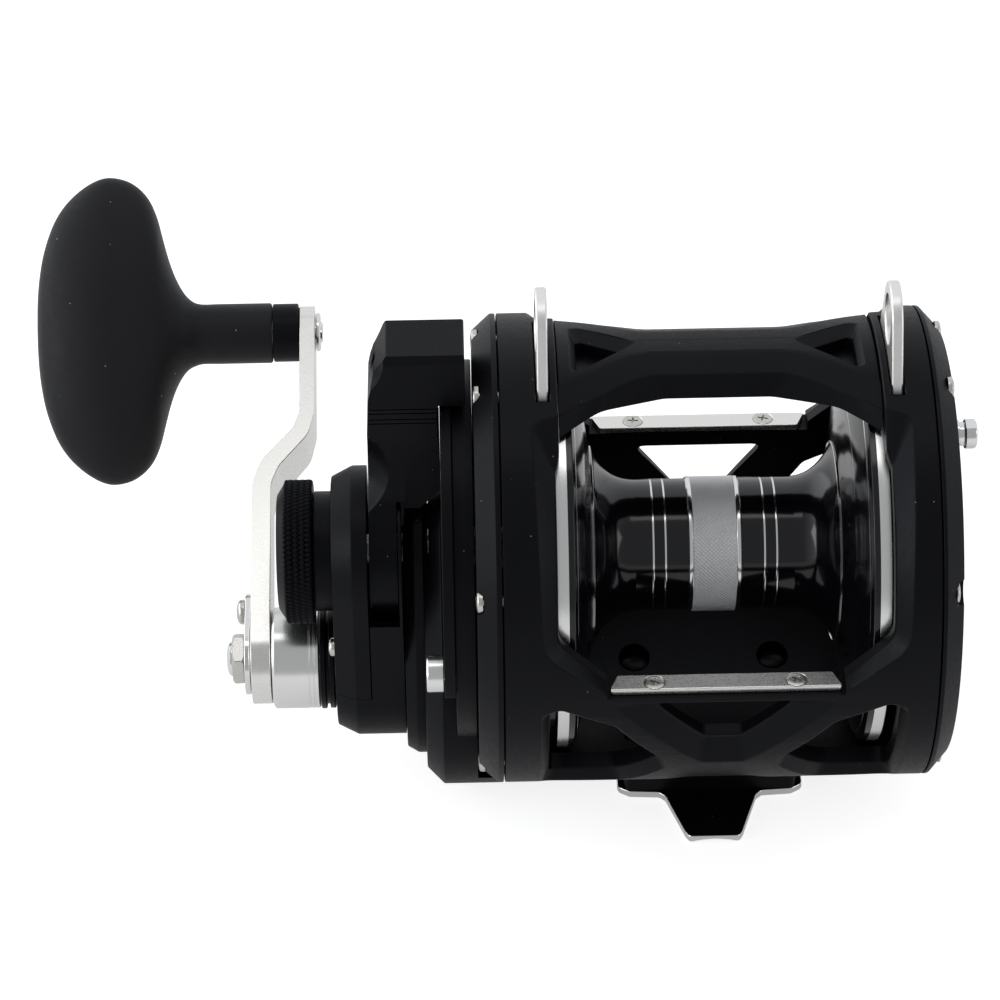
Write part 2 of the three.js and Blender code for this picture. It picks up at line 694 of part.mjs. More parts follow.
function makeLockPlate() {
  return cut(
    prismX(twoCircles([13, 4.6], [0, 9.2]), -118, -116.5, 8),
    disc(-119, -115, 6.3, 20),
    disc(-119, -115, 1.7, 10, 0, 13),
  );
}

function makeLockScrew() {
  return join(disc(-120.4, -118.3, 3.2, 16, 0, 13), disc(-118.4, -116.7, 1.4, 8, 0, 13));
}

function makeCrankHub() {
  return revolve([
    [-110.9, 6.3], [-110.9, 12.2], [-110.2, 12.9], [-99, 12.9], [-99, 6.3],
  ], 32);
}

function makeCrankNut() {
  const across = 12 / Math.sqrt(3);
  const hex = [0, 1, 2, 3, 4, 5].map((k) => polar(across, 60 * k + 30));
  return cut(prismX(shapeOf(hex), -121.2, -118.3), disc(-123, -117, 4.9, 20));
}

function makeShiftButton() {
  return revolve([
    [-122.7, 0], [-122.7, 3], [-122, 4.4], [-119.2, 4.4], [-119.2, 1.6], [-112, 1.6], [-112, 0],
  ], 20);
}

function makeCrankShaft() {
  return cut(
    join(disc(-118, -60.2, CRANK_SHAFT_RADIUS, 24), disc(-118.1, -117, 4.6, 20)),
    disc(-120, -110, 2, 12),
    disc(-120, -117.2, 4.7, 20),
  );
}

// ---------------------------------------------------------------- T grip

function makeGrip() {
  const centreX = -153;
  const reach = { out: 20.6, in: 16.7 };
  const depth = 12.5;
  const offset = 1.25; // the palm swell sits a little off the spindle's line
  const ball = new THREE.SphereGeometry(1, 18, 14);
  const position = ball.attributes.position;
  for (let i = 0; i < position.count; i += 1) {
    const x = position.getX(i);
    const squared = Math.sign(x) * Math.abs(x) ** 0.93;
    const along = centreX + squared * (x < 0 ? reach.out : reach.in);
    position.setXYZ(i, along, position.getZ(i) * depth, position.getY(i) * GRIP_HALF + offset);
  }
  const neck = revolve([
    [-150, 0], [-150, 12], [-141, 12], [-137.5, 11.4], [-134, 9.4], [-130.4, 7.95],
    [-111.4, 7.95], [-111.4, 0],
  ], 28);
  return cut(join(solid(ball), neck), disc(-167, -111, 3.4, 16));
}

const spindleCentre = polar(CRANK_LENGTH, CRANK_ANGLE, CRANK_Z);
const ontoSpindle = (body) => body.translate([0, ...spindleCentre]);

// ---------------------------------------------------------------- clicker

/** The sliding button that engages the clicker: its pin carries a tongue inside the cover. */
function makeClicker() {
  const height = 32;
  const tongue = shapeOf([
    [-0.45, 24.6], [0.45, 24.6], [1.6, 28], [2.9, 30.5], [2.9, 34.5], [-2.9, 34.5], [-2.9, 30.5], [-1.6, 28],
  ]);
  return join(
    disc(57.9, 66.3, 3.7, 20, 0, height),
    disc(42, 58, 1.9, 12, 0, height),
    prismX(tongue, 40.6, 42.1),
  );
}

// ---------------------------------------------------------------- all the pieces

place('main_frame', makeFrame(), BLACK);
place('top_bar', makeTopBar(), BLACK);
place('harness_lug_handle_side', makeLug(-1), SILVER);
place('harness_lug_tail_side', makeLug(1), SILVER);
place('line_guard_front', makeGuard(-1), SILVER);
place('line_guard_rear', makeGuard(1), SILVER);
place('reel_foot', makeFoot(), BLACK);
for (const [sideName, side] of [['front', -1], ['rear', 1]]) {
  for (const [endName, end] of [['left', -1], ['right', 1]]) {
    place(`guard_screw_${sideName}_${endName}`, makeGuardScrew(end, side), STEEL);
    place(`foot_screw_${sideName}_${endName}`, makeFootScrew(end, side), BLACK);
  }
}

place('handle_side_cover', makeHandleCover(), BLACK);
place('tail_side_cover', makeTailCover(), BLACK);
SIDE_SCREW_ANGLES.forEach((angle, i) => place(`cover_screw_${i + 1}`, makeSideScrew(angle), STEEL));

place('gearbox_housing', makeGearbox(), BLACK);
place('gearbox_cap', makeGearboxCap(), BLACK);
place('gearbox_boss', makeBoss(), BLACK);
place('hub_cover', makeHubCover(), BLACK);
place('lever_quadrant', makeQuadrant(), BLACK);
place('lever_stop_button', makeStopButton(), SILVER);

place('drag_lever', makeLever(), BLACK);
place('preset_springs', ring(-97, -90.5, 10, 5, 16), STEEL);
place('preset_knob', makePresetKnob(), BLACK);

place('spool_shaft', disc(-104, 52, SHAFT_RADIUS, 24), STEEL);
place('spool', makeSpool(), GLOSS);
place('spool_bearing_handle_side', ring(-31.8, -27.2, 9, 4.3, 16), STEEL);
place('spool_bearing_tail_side', ring(27.2, 31.8, 9, 4.3, 16), STEEL);
place('tail_bearing', ring(48.4, 52.2, 8, 4.3, 16), STEEL);
place('drive_bearing', ring(-58.8, -55.2, 10, 5.5, 16), STEEL);
place('drag_washer', ring(-41.5, -40.2, 45, 22, 32), CARBON);
place('pressure_plate', makePressurePlate(), STEEL);
place('anti_reverse_ratchet', ratchet(-48.8, -46.2, RATCHET_TEETH, 24.5, 22, 5.5), STEEL);
place('anti_reverse_pawl', makePawl(), STEEL);
place('click_ratchet', makeClickRatchet(), BRASS);

place('main_gear_high', gear(TEETH.mainHigh, ...HIGH_GEAR_X, 6.3, CRANK_Z, TOOTH_UP), BRASS);
place('main_gear_low', gear(TEETH.mainLow, ...LOW_GEAR_X, 6.3, CRANK_Z, TOOTH_UP), BRASS);
place('pinion_cluster', makePinions(), STEEL);

const crankRing = (x0, x1, outer, inner, segments) => ring(x0, x1, outer, inner, segments, 0, CRANK_Z);
place('crank_bearing_inner', crankRing(-76.6, -73.1, 10, 6.3, 16), STEEL);
place('crank_bearing_outer', crankRing(-93.8, -90.1, 10, 6.3, 16), STEEL);
place('crank_spacer', crankRing(-98.7, -95.1, 13, 6.3, 32), BLACK);
place('crank_hub', alongCrank(makeCrankHub()), SILVER);
place('crank_arm', alongCrank(makeCrankArm()), SILVER);
place('lock_plate', alongCrank(makeLockPlate()), SILVER);
place('lock_screw', alongCrank(makeLockScrew()), STEEL);
place('crank_nut', alongCrank(makeCrankNut()), STEEL);
place('crank_shaft', alongCrank(makeCrankShaft()), STEEL);
place('shift_button', alongCrank(makeShiftButton()), STEEL);

const spindle = join(disc(-166, -98.6, 3, 16), disc(-99.7, -98.6, 5.15, 20), disc(-99, -98, 2.85, 16));
place('knob_spindle', ontoSpindle(spindle), STEEL);
place('knob_collar', ontoSpindle(ring(-111.1, -104.3, 7.7, 3.4, 28)), BLACK);
place('t_grip', ontoSpindle(makeGrip().rotate([-(GRIP_ANGLE - 90), 0, 0])), GRIP);

place('clicker_button', makeClicker(), SILVER);

export default reel;
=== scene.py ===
"""A lever-drag trolling reel: the finished surfaces of every visible piece, its materials, the
light and the camera. Shapes are drawn in millimetres from the spool axis, with X along the axis,
-Y the front and +Z up, and are scaled to metres in the row frame when they become objects.
Angles about the spool axis are in degrees, from the front (-Y) up towards +Z."""
import json
import math

import bmesh
import bpy
from mathutils import Matrix, Vector
from mathutils.geometry import tessellate_polygon


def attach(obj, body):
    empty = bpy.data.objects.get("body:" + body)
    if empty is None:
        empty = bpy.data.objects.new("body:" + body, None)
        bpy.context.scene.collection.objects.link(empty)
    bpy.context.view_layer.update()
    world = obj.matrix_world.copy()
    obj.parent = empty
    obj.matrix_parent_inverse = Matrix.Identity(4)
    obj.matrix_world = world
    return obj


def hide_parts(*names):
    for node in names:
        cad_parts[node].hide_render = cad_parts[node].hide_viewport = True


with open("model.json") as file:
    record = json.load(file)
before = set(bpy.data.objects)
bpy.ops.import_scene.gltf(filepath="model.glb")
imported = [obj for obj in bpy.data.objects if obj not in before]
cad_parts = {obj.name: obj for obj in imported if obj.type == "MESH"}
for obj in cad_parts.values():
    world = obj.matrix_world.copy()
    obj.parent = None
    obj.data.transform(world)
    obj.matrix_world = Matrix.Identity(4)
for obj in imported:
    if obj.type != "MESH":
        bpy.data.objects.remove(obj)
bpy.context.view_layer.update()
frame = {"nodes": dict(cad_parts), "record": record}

MM = 0.001
AXIS_HEIGHT = 67.0
CRANK_Z = -33.75
CRANK_ANGLE = 152.0
GRIP_ANGLE = 126.9
CRANK_LENGTH = 94.0
LUG_X = 42.4
EYE_Z = 66.3
SCREW_RING = 53.3
SCREW_ANGLES = (110, 79.5, 23, -44, -110, -177)
SUNK_TAIL_SCREWS = (23, -44)

# ------------------------------------------------------------------ plane outlines


def polar(radius, angle, z=0.0):
    a = math.radians(angle)
    return (-radius * math.cos(a), z + radius * math.sin(a))


def rounded(points, radius, steps=4, closed=True):
    """The outline with each corner turned into an arc. radius is one number or one per corner."""
    count = len(points)
    out = []
    for i, p in enumerate(points):
        r = radius[i] if isinstance(radius, (list, tuple)) else radius
        if not closed and i in (0, count - 1):
            out.append(tuple(p))
            continue
        a = Vector(points[i - 1]) - Vector(p)
        b = Vector(points[(i + 1) % count]) - Vector(p)
        if r <= 0:
            out.append(tuple(p))
            continue
        angle = max(a.angle(b), 1e-3)
        reach = min(r / math.tan(angle / 2), 0.47 * a.length, 0.47 * b.length)
        start, end = Vector(p) + a.normalized() * reach, Vector(p) + b.normalized() * reach
        for k in range(steps + 1):
            t = k / steps
            low = start.lerp(Vector(p), t)
            high = Vector(p).lerp(end, t)
            out.append(tuple(low.lerp(high, t)))
    return out


def grow(points, distance):
    """The outline moved outwards by a distance, corner by corner."""
    area = sum(p[0] * q[1] - q[0] * p[1] for p, q in zip(points, points[1:] + points[:1]))
    turn = 1 if area > 0 else -1

    def normal(p, q):
        length = math.hypot(q[0] - p[0], q[1] - p[1]) or 1e-9
        return (turn * (q[1] - p[1]) / length, -turn * (q[0] - p[0]) / length)

    out = []
    for i, p in enumerate(points):
        a = normal(points[i - 1], p)
        b = normal(p, points[(i + 1) % len(points)])
        scale = distance / max(1 + a[0] * b[0] + a[1] * b[1], 0.3)
        out.append((p[0] + (a[0] + b[0]) * scale, p[1] + (a[1] + b[1]) * scale))
    return out


def between(first, second, t):
    return [(p[0] + (q[0] - p[0]) * t, p[1] + (q[1] - p[1]) * t) for p, q in zip(first, second)]


def mirror_x(points):
    return [(-x, a) for x, a in points]


def mirror_y(points):
    return [(x, 180 - a) for x, a in points]


def arc(y, z, radius, start, end, steps):
    """Points in (y, z) on an arc, with angles in the usual sense from +Y towards +Z."""
    out = []
    for k in range(steps + 1):
        a = math.radians(start + (end - start) * k / steps)
        out.append((y + radius * math.cos(a), z + radius * math.sin(a)))
    return out


def two_circles(upper, lower, steps=60):
    """The outline around two circles whose centres are on the Z axis, each (z, radius)."""
    (z1, r1), (z0, r0) = upper, lower
    tilt = math.degrees(math.asin((r0 - r1) / (z1 - z0)))
    top = arc(0, z1, r1, tilt, 180 - tilt, steps)
    return top + arc(0, z0, r0, 180 - tilt, 360 + tilt, steps)


def spline(points, steps=6):
    """A smooth curve through points of any size."""
    out = []
    for i in range(len(points) - 1):
        p0, p1, p2 = points[max(i - 1, 0)], points[i], points[i + 1]
        p3 = points[min(i + 2, len(points) - 1)]
        for k in range(steps):
            t = k / steps
            out.append(tuple(
                0.5 * (2 * b + (c - a) * t + (2 * a - 5 * b + 4 * c - d) * t * t
                       + (3 * b - a - 3 * c + d) * t ** 3)
                for a, b, c, d in zip(p0, p1, p2, p3)))
    out.append(tuple(points[-1]))
    return out


# ------------------------------------------------------------------ closed meshes


def mesh_of(verts, faces):
    mesh = bpy.data.meshes.new("solid")
    mesh.from_pydata(verts, [], faces)
    bm = bmesh.new()
    bm.from_mesh(mesh)
    bmesh.ops.remove_doubles(bm, verts=bm.verts, dist=1e-4)
    bmesh.ops.dissolve_degenerate(bm, dist=1e-5, edges=bm.edges)
    bmesh.ops.recalc_face_normals(bm, faces=bm.faces)
    bm.to_mesh(mesh)
    bm.free()
    return mesh


def bridge(rows):
    """The faces between neighbouring rows of vertex numbers; each row is a closed loop."""
    faces = []
    for a, b in zip(rows, rows[1:]):
        for k in range(len(a)):
            n = (k + 1) % len(a)
            face = list(dict.fromkeys((a[k], a[n], b[n], b[k])))
            if len(face) > 2:
                faces.append(face)
    return faces


def capped(verts, rows, outlines):
    """A solid through rows of vertices, with the outlines of both ends filled in."""
    faces = bridge(rows)
    for row, outline in ((rows[0], outlines[0]), (rows[-1], outlines[-1])):
        flat = [Vector((u, v, 0)) for u, v in outline]
        faces.extend(tuple(row[i] for i in tri) for tri in tessellate_polygon([flat]))
    return mesh_of(verts, faces)


def revolve(profile, segments=180, y=0.0, z=0.0):
    """A solid of revolution about an X-parallel axis, from (x, radius) points."""
    verts, rows = [], []
    for x, r in profile:
        if r < 1e-6:
            rows.append([len(verts)] * segments)
            verts.append((x, y, z))
            continue
        rows.append(list(range(len(verts), len(verts) + segments)))
        for k in range(segments):
            dy, dz = polar(r, 360 * k / segments)
            verts.append((x, y + dy, z + dz))
    has_bore = profile[0][1] > 1e-6
    return mesh_of(verts, bridge(rows + rows[:1] if has_bore else rows))


def disc(x0, x1, radius, segments=96, y=0.0, z=0.0, soft=0.0):
    profile = rounded([(x0, 0), (x0, radius), (x1, radius), (x1, 0)], soft, 3, closed=False)
    return revolve(profile, segments, y, z)


def ring(x0, x1, outer, inner, segments=120, y=0.0, z=0.0, soft=0.0):
    profile = rounded([(x0, inner), (x0, outer), (x1, outer), (x1, inner)], soft, 3)
    return revolve(profile, segments, y, z)


def loft(levels, axis="X"):
    """A solid through outlines of equal length, each (place along the axis, outline)."""
    verts, rows = [], []
    for w, outline in levels:
        rows.append(list(range(len(verts), len(verts) + len(outline))))
        for u, v in outline:
            verts.append({"X": (w, u, v), "Y": (u, w, v), "Z": (u, v, w)}[axis])
    return capped(verts, rows, [outline for _, outline in levels])


def prism(outline, w0, w1, axis="X", soft=0.0, steps=3):
    """An extruded outline whose rims are rounded by soft millimetres."""
    if soft <= 0:
        return loft([(w0, outline), (w1, outline)], axis)
    angles = [math.pi / 2 * k / steps for k in range(steps + 1)]
    first = [(w0 + soft * (1 - math.cos(a)), grow(outline, -soft * (1 - math.sin(a))))
             for a in angles]
    last = [(w1 + w0 - w, shape) for w, shape in reversed(first)]
    return loft(first + last, axis)


def box(x, y, z):
    outline = [(x[0], y[0]), (x[1], y[0]), (x[1], y[1]), (x[0], y[1])]
    return prism(outline, *z, "Z")


def ball(centre, size, rings=48, segments=96):
    profile = [(-math.cos(math.pi * k / rings), math.sin(math.pi * k / rings))
               for k in range(rings + 1)]
    mesh = revolve([(x, max(r, 0)) for x, r in profile], segments)
    mesh.transform(Matrix.Translation(centre) @ Matrix.Diagonal((*size, 1)))
    return mesh


def wrapped(levels, step=1.5):
    """A solid wrapped around the spool axis, from (radius, outline of (x, angle)) levels."""
    first = levels[0][1]
    counts = [max(1, math.ceil(abs(q[1] - p[1]) / step))
              for p, q in zip(first, first[1:] + first[:1])]
    fine = []
    for radius, outline in levels:
        points = []
        for p, q, n in zip(outline, outline[1:] + outline[:1], counts):
            points.extend((p[0] + (q[0] - p[0]) * k / n, p[1] + (q[1] - p[1]) * k / n)
                          for k in range(n))
        fine.append((radius, points))
    verts, rows = [], []
    for radius, points in fine:
        rows.append(list(range(len(verts), len(verts) + len(points))))
        verts.extend((x, *polar(radius, a)) for x, a in points)
    return capped(verts, rows, [points for _, points in fine])


def boolean(mesh, tools, operation):
    holder = bpy.data.objects.new("work", mesh)
    bpy.context.scene.collection.objects.link(holder)
    helpers = []
    for tool in tools:
        helper = bpy.data.objects.new("tool", tool)
        bpy.context.scene.collection.objects.link(helper)
        helpers.append(helper)
        step = holder.modifiers.new("step", "BOOLEAN")
        step.operation, step.object, step.solver = operation, helper, "MANIFOLD"
    depsgraph = bpy.context.evaluated_depsgraph_get()
    result = bpy.data.meshes.new_from_object(holder.evaluated_get(depsgraph))
    for o in helpers + [holder]:
        bpy.data.objects.remove(o)
    if not result.polygons:
        raise RuntimeError("a boolean left nothing")
    return result


def flatten(items):
    out = []
    for item in items:
        out.extend(flatten(item) if isinstance(item, (list, tuple)) else [item])
    return out


def cut(mesh, *tools):
    return boolean(mesh, flatten(tools), "DIFFERENCE")


def join(mesh, *others):
    return boolean(mesh, flatten(others), "UNION")


def keep(mesh, other):
    return boolean(mesh, [other], "INTERSECT")


def moved(mesh, matrix):
    mesh.transform(matrix)
    return mesh


def bevelled(mesh, width, segments=3, angle=30):
    """The mesh with its sharp edges rounded."""
    holder = bpy.data.objects.new("work", mesh)
    bpy.context.scene.collection.objects.link(holder)
    step = holder.modifiers.new("bevel", "BEVEL")
    step.width, step.segments = width, segments
    step.limit_method, step.angle_limit = "ANGLE", math.radians(angle)
    step.use_clamp_overlap = True
    step.miter_outer = "MITER_ARC"
    depsgraph = bpy.context.evaluated_depsgraph_get()
    result = bpy.data.meshes.new_from_object(holder.evaluated_get(depsgraph))
    bpy.data.objects.remove(holder)
    return result


# ------------------------------------------------------------------ materials


class Nodes:
    """A short way to write a material's node tree."""

    def __init__(self, name):
        self.material = bpy.data.materials.new(name)
        self.material.use_nodes = True
        self.tree = self.material.node_tree
        self.tree.nodes.clear()
        self.out = self.add("ShaderNodeOutputMaterial")
        self.shader = self.add("ShaderNodeBsdfPrincipled")
        self.link(self.shader.outputs[0], self.out.inputs["Surface"])
        self.place = self.add("ShaderNodeTexCoord").outputs["Object"]

    def add(self, kind, **inputs):
        node = self.tree.nodes.new(kind)
        for key, value in inputs.items():
            node.inputs[key.replace("_", " ")].default_value = value
        return node

    def link(self, a, b):
        self.tree.links.new(a, b)

    def set(self, **values):
        for key, value in values.items():
            self.shader.inputs[key.replace("_", " ")].default_value = value

    def stretched(self, scale):
        mapping = self.add("ShaderNodeMapping")
        mapping.inputs["Scale"].default_value = scale
        self.link(self.place, mapping.inputs["Vector"])
        return mapping.outputs["Vector"]

    def noise(self, scale, detail=2.0, vector=None):
        node = self.add("ShaderNodeTexNoise", Scale=scale, Detail=detail)
        self.link(vector or self.place, node.inputs["Vector"])
        return node.outputs["Fac"]

    def remap(self, value, low, high, to_low, to_high):
        node = self.add("ShaderNodeMapRange")
        for i, v in enumerate((low, high, to_low, to_high)):
            node.inputs[i + 1].default_value = v
        self.link(value, node.inputs[0])
        return node.outputs[0]

    def ramp(self, value, low, high):
        """A colour between two, by a value from 0 to 1."""
        node = self.add("ShaderNodeMix")
        node.data_type = "RGBA"
        node.inputs[6].default_value = (*low, 1)
        node.inputs[7].default_value = (*high, 1)
        self.link(value, node.inputs[0])
        return node.outputs[2]

    def mix(self, value, first, colour):
        node = self.add("ShaderNodeMix")
        node.data_type = "RGBA"
        self.link(first, node.inputs[6])
        node.inputs[7].default_value = (*colour, 1)
        self.link(value, node.inputs[0])
        return node.outputs[2]

    def bump(self, value, strength, distance):
        node = self.add("ShaderNodeBump", Strength=strength, Distance=distance)
        self.link(value, node.inputs["Height"])
        return node.outputs[0]

    def to(self, value, socket):
        self.link(value, self.shader.inputs[socket])

    def specks(self, size, share):
        """A mask of sparse dust specks, about size metres across."""
        node = self.add("ShaderNodeTexVoronoi", Scale=1 / (size * 9))
        self.link(self.place, node.inputs["Vector"])
        near = self.remap(node.outputs["Distance"], 0.05, 0.11, 1, 0)
        pick = self.add("ShaderNodeSeparateColor")
        self.link(node.outputs["Color"], pick.inputs[0])
        chosen = self.remap(pick.outputs[0], 1 - share, 1 - share + 0.002, 0, 1)
        both = self.add("ShaderNodeMath")
        both.operation = "MULTIPLY"
        self.link(near, both.inputs[0])
        self.link(chosen, both.inputs[1])
        return both.outputs[0]


def black_anodised(name="black_anodised", rough=(0.36, 0.46), tone=1.0):
    n = Nodes(name)
    n.set(Metallic=0.0, IOR=1.5, Specular_IOR_Level=0.13, Specular_Tint=(0.9, 0.92, 1, 1))
    cloud = n.noise(60, 4)
    base = n.ramp(cloud, (0.0016 * tone, 0.0016 * tone, 0.0022 * tone),
                  (0.003 * tone, 0.0031 * tone, 0.004 * tone))
    dust = n.specks(0.00016, 0.03)
    n.to(n.mix(dust, base, (0.32, 0.31, 0.29)), "Base Color")
    grain = n.noise(5200, 2)
    n.to(n.remap(n.noise(900, 3), 0.3, 0.7, *rough), "Roughness")
    n.to(n.bump(grain, 0.18, 0.00003), "Normal")
    return n.material


def gloss_black():
    n = Nodes("gloss_black_anodised")
    n.set(Metallic=0.0, IOR=1.55, Specular_IOR_Level=0.42)
    turning = n.noise(1.0, 2, n.stretched((9000, 30, 30)))
    n.to(n.ramp(turning, (0.002, 0.002, 0.003), (0.004, 0.004, 0.006)), "Base Color")
    n.to(n.remap(turning, 0.3, 0.7, 0.10, 0.15), "Roughness")
    n.to(n.bump(turning, 0.05, 0.00001), "Normal")
    return n.material


def bright_metal(name, colour, rough, grain=(600, 600, 600), strength=0.05):
    n = Nodes(name)
    n.set(Metallic=1.0)
    low = tuple(c * 0.985 for c in colour)
    line = n.noise(1.0, 3, n.stretched(grain))
    n.to(n.ramp(line, low, colour), "Base Color")
    n.to(n.remap(line, 0.25, 0.75, *rough), "Roughness")
    n.to(n.bump(line, strength, 0.00002), "Normal")
    return n.material


def soft_touch():
    n = Nodes("soft_touch_grip")
    n.set(Metallic=0.0, IOR=1.47, Specular_IOR_Level=0.26, Sheen_Weight=0.12, Sheen_Roughness=0.4)
    base = n.ramp(n.noise(45, 4), (0.0042, 0.0042, 0.0056), (0.0068, 0.0068, 0.0084))
    dust = n.specks(0.0002, 0.05)
    n.to(n.mix(dust, base, (0.4, 0.39, 0.37)), "Base Color")
    n.to(n.remap(n.noise(700, 3), 0.3, 0.7, 0.5, 0.6), "Roughness")
    n.to(n.bump(n.noise(6500, 2), 0.2, 0.00003), "Normal")
    return n.material


def carbon_weave():
    n = Nodes("carbon_fibre")
    n.set(Metallic=0.0, Coat_Weight=0.4, Coat_Roughness=0.2)
    checker = n.add("ShaderNodeTexChecker", Scale=900)
    n.link(n.place, checker.inputs["Vector"])
    n.to(n.ramp(checker.outputs["Fac"], (0.012, 0.012, 0.013), (0.035, 0.035, 0.037)), "Base Color")
    n.to(n.remap(n.noise(2500, 2), 0.3, 0.7, 0.35, 0.5), "Roughness")
    n.to(n.bump(checker.outputs["Fac"], 0.2, 0.00005), "Normal")
    return n.material


BLACK = black_anodised()
BLACK_SHEEN = black_anodised("black_anodised_lever", (0.28, 0.38), 0.7)
GLOSS = gloss_black()
SILVER = bright_metal("polished_metal", (0.86, 0.855, 0.84), (0.13, 0.2), (900, 900, 900))
BRUSHED = bright_metal("brushed_metal", (0.9, 0.885, 0.85), (0.26, 0.3), (700, 1400, 1400), 0.008)
SATIN = bright_metal("satin_metal", (0.92, 0.91, 0.88), (0.36, 0.42), (900, 900, 900), 0.01)
TURNED = bright_metal("turned_metal", (0.88, 0.88, 0.86), (0.2, 0.27), (7000, 60, 60), 0.03)
STEEL = bright_metal("stainless_steel", (0.66, 0.64, 0.6), (0.22, 0.34), (2500, 2500, 2500))
KNURL = bright_metal("knurled_metal", (0.86, 0.865, 0.87), (0.5, 0.6), (1500, 1500, 1500))
BRONZE = bright_metal("gear_bronze", (0.62, 0.44, 0.20), (0.25, 0.38), (1800, 1800, 1800))
CARBON = carbon_weave()
GRIP = soft_touch()

BY_SLOT = {
    "black_anodised": BLACK, "gloss_black_anodised": GLOSS, "polished_metal": SILVER,
    "stainless_steel": STEEL, "gear_bronze": BRONZE, "carbon_fibre": CARBON,
    "soft_touch_grip": GRIP,
}
node_slot = {s["node"]: s["material_slot"] for s in frame["record"]["subparts"]}
for node, obj in frame["nodes"].items():
    obj.data.materials.clear()
    obj.data.materials.append(BY_SLOT[node_slot[node]])

# ------------------------------------------------------------------ pieces


def piece(name, mesh, material, body, nodes=(), sharp=32, choose=None):
    """Turns a mesh in millimetres about the spool axis into a finished piece."""
    mesh.transform(Matrix.Translation((0, 0, AXIS_HEIGHT * MM)) @ Matrix.Scale(MM, 4))
    mesh.name = name
    materials = material if isinstance(material, (list, tuple)) else [material]
    mesh.materials.clear()
    for m in materials:
        mesh.materials.append(m)
    for face in mesh.polygons:
        face.material_index = choose(face) if choose else 0
        face.use_smooth = True
    bm = bmesh.new()
    bm.from_mesh(mesh)
    for edge in bm.edges:
        edge.smooth = len(edge.link_faces) == 2 and edge.calc_face_angle(0) < math.radians(sharp)
    bm.to_mesh(mesh)
    bm.free()
    obj = bpy.data.objects.new(name, mesh)
    bpy.context.scene.collection.objects.link(obj)
    weigh = obj.modifiers.new("normals", "WEIGHTED_NORMAL")
    weigh.keep_sharp = True
    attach(obj, body)
    if nodes:
        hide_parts(*nodes)
    return obj


def cross_recess(radius, depth, x_top, sign):
    """Two tapered slots crossed, cut into a head whose top is at x_top, going towards sign."""
    out = []
    for turned in (0, 1):
        wide, thin = radius, radius * 0.17
        shapes = []
        for x, k in ((x_top - sign * 0.5, 1.1), (x_top + sign * depth, 0.62)):
            half = (wide * k, thin * (1.1 if k > 1 else 0.8))
            u, v = half if turned else half[::-1]
            shapes.append((x, [(-u, -v), (u, -v), (u, v), (-u, v)]))
        out.append(loft(sorted(shapes, key=lambda s: s[0])))
    return out


def head_along_x(x_top, x_low, radius, dome, sign, recess, turn=20):
    """A screw head whose outer end is x_top; sign points from there into the body."""
    profile = [(x_top, 0)]
    for k in range(1, 9):
        a = math.pi / 2 * k / 8
        profile.append((x_top + sign * dome * (1 - math.cos(a)), radius * math.sin(a) ** 0.9))
    profile += [(x_low, radius), (x_low, 0)]
    mesh = cut(revolve(profile, 64), cross_recess(radius * 0.58, recess, x_top, sign))
    return moved(mesh, Matrix.Rotation(math.radians(turn), 4, "X"))


def at_polar(mesh, radius, angle, z=0.0):
    y, h = polar(radius, angle, z)
    return moved(mesh, Matrix.Translation((0, y, h)))


# ---------------------------------------------------------------- frame

window_inner = rounded(
    [(28, 0), (40, 12), (40, 55), (38.9, 60), (38.9, 91),
     (-38.9, 91), (-38.9, 60), (-40, 55), (-40, 12), (-28, 0)],
    [3, 7, 4, 2, 0, 0, 2, 4, 7, 3], 5)
window_outer = rounded(
    [(28.2, -1), (43.5, 10), (45.5, 68), (38.9, 69.5), (38.9, 91),
     (-38.9, 91), (-38.9, 69.5), (-45.5, 68), (-43.5, 10), (-28.2, -1)],
    [3, 9, 5.5, 0.5, 0, 0, 0.5, 5.5, 9, 3], 5)
side_corner = [(42, -8.5), (39.5, -7.5), (27.5, -13), (16, -28), (16, -31.5), (26, -47), (42, -52)]
side_window = rounded(side_corner, [1.5, 1.5, 4, 2, 2, 4, 3], 4)
side_outer = rounded(grow(side_corner, 2), [2.5, 2.5, 5, 3, 3, 5, 4], 4)
recess_outer = rounded([(27, -3.6), (5, -29), (-5, -29), (-27, -3.6)], [1, 3, 3, 1], 4)
recess_inner = rounded([(19, -6), (4.6, -23), (-4.6, -23), (-19, -6)], [1.5, 2, 2, 1.5], 4)
recess_hole = rounded([(17, -6.8), (4.6, -21.5), (-4.6, -21.5), (-17, -6.8)], [1.5, 2, 2, 1.5], 4)
foot_arch = [(14, -50), (8, -43), (-8, -43), (-14, -50), (-14, -62), (14, -62)]


def soft_cut(inner, outer, low, start, top, reach):
    """A wrapped cutter with straight walls up to start and a bevel to top, softly joined."""
    depth = top - start
    return wrapped([
        (low, inner), (start - 0.35, inner), (start + 0.3, between(inner, outer, 0.3 / depth)),
        (top - 0.3, between(inner, outer, 1 - 0.3 / depth)), (top + 0.02, grow(outer, 0.3)),
        (reach, grow(outer, 0.3)),
    ])


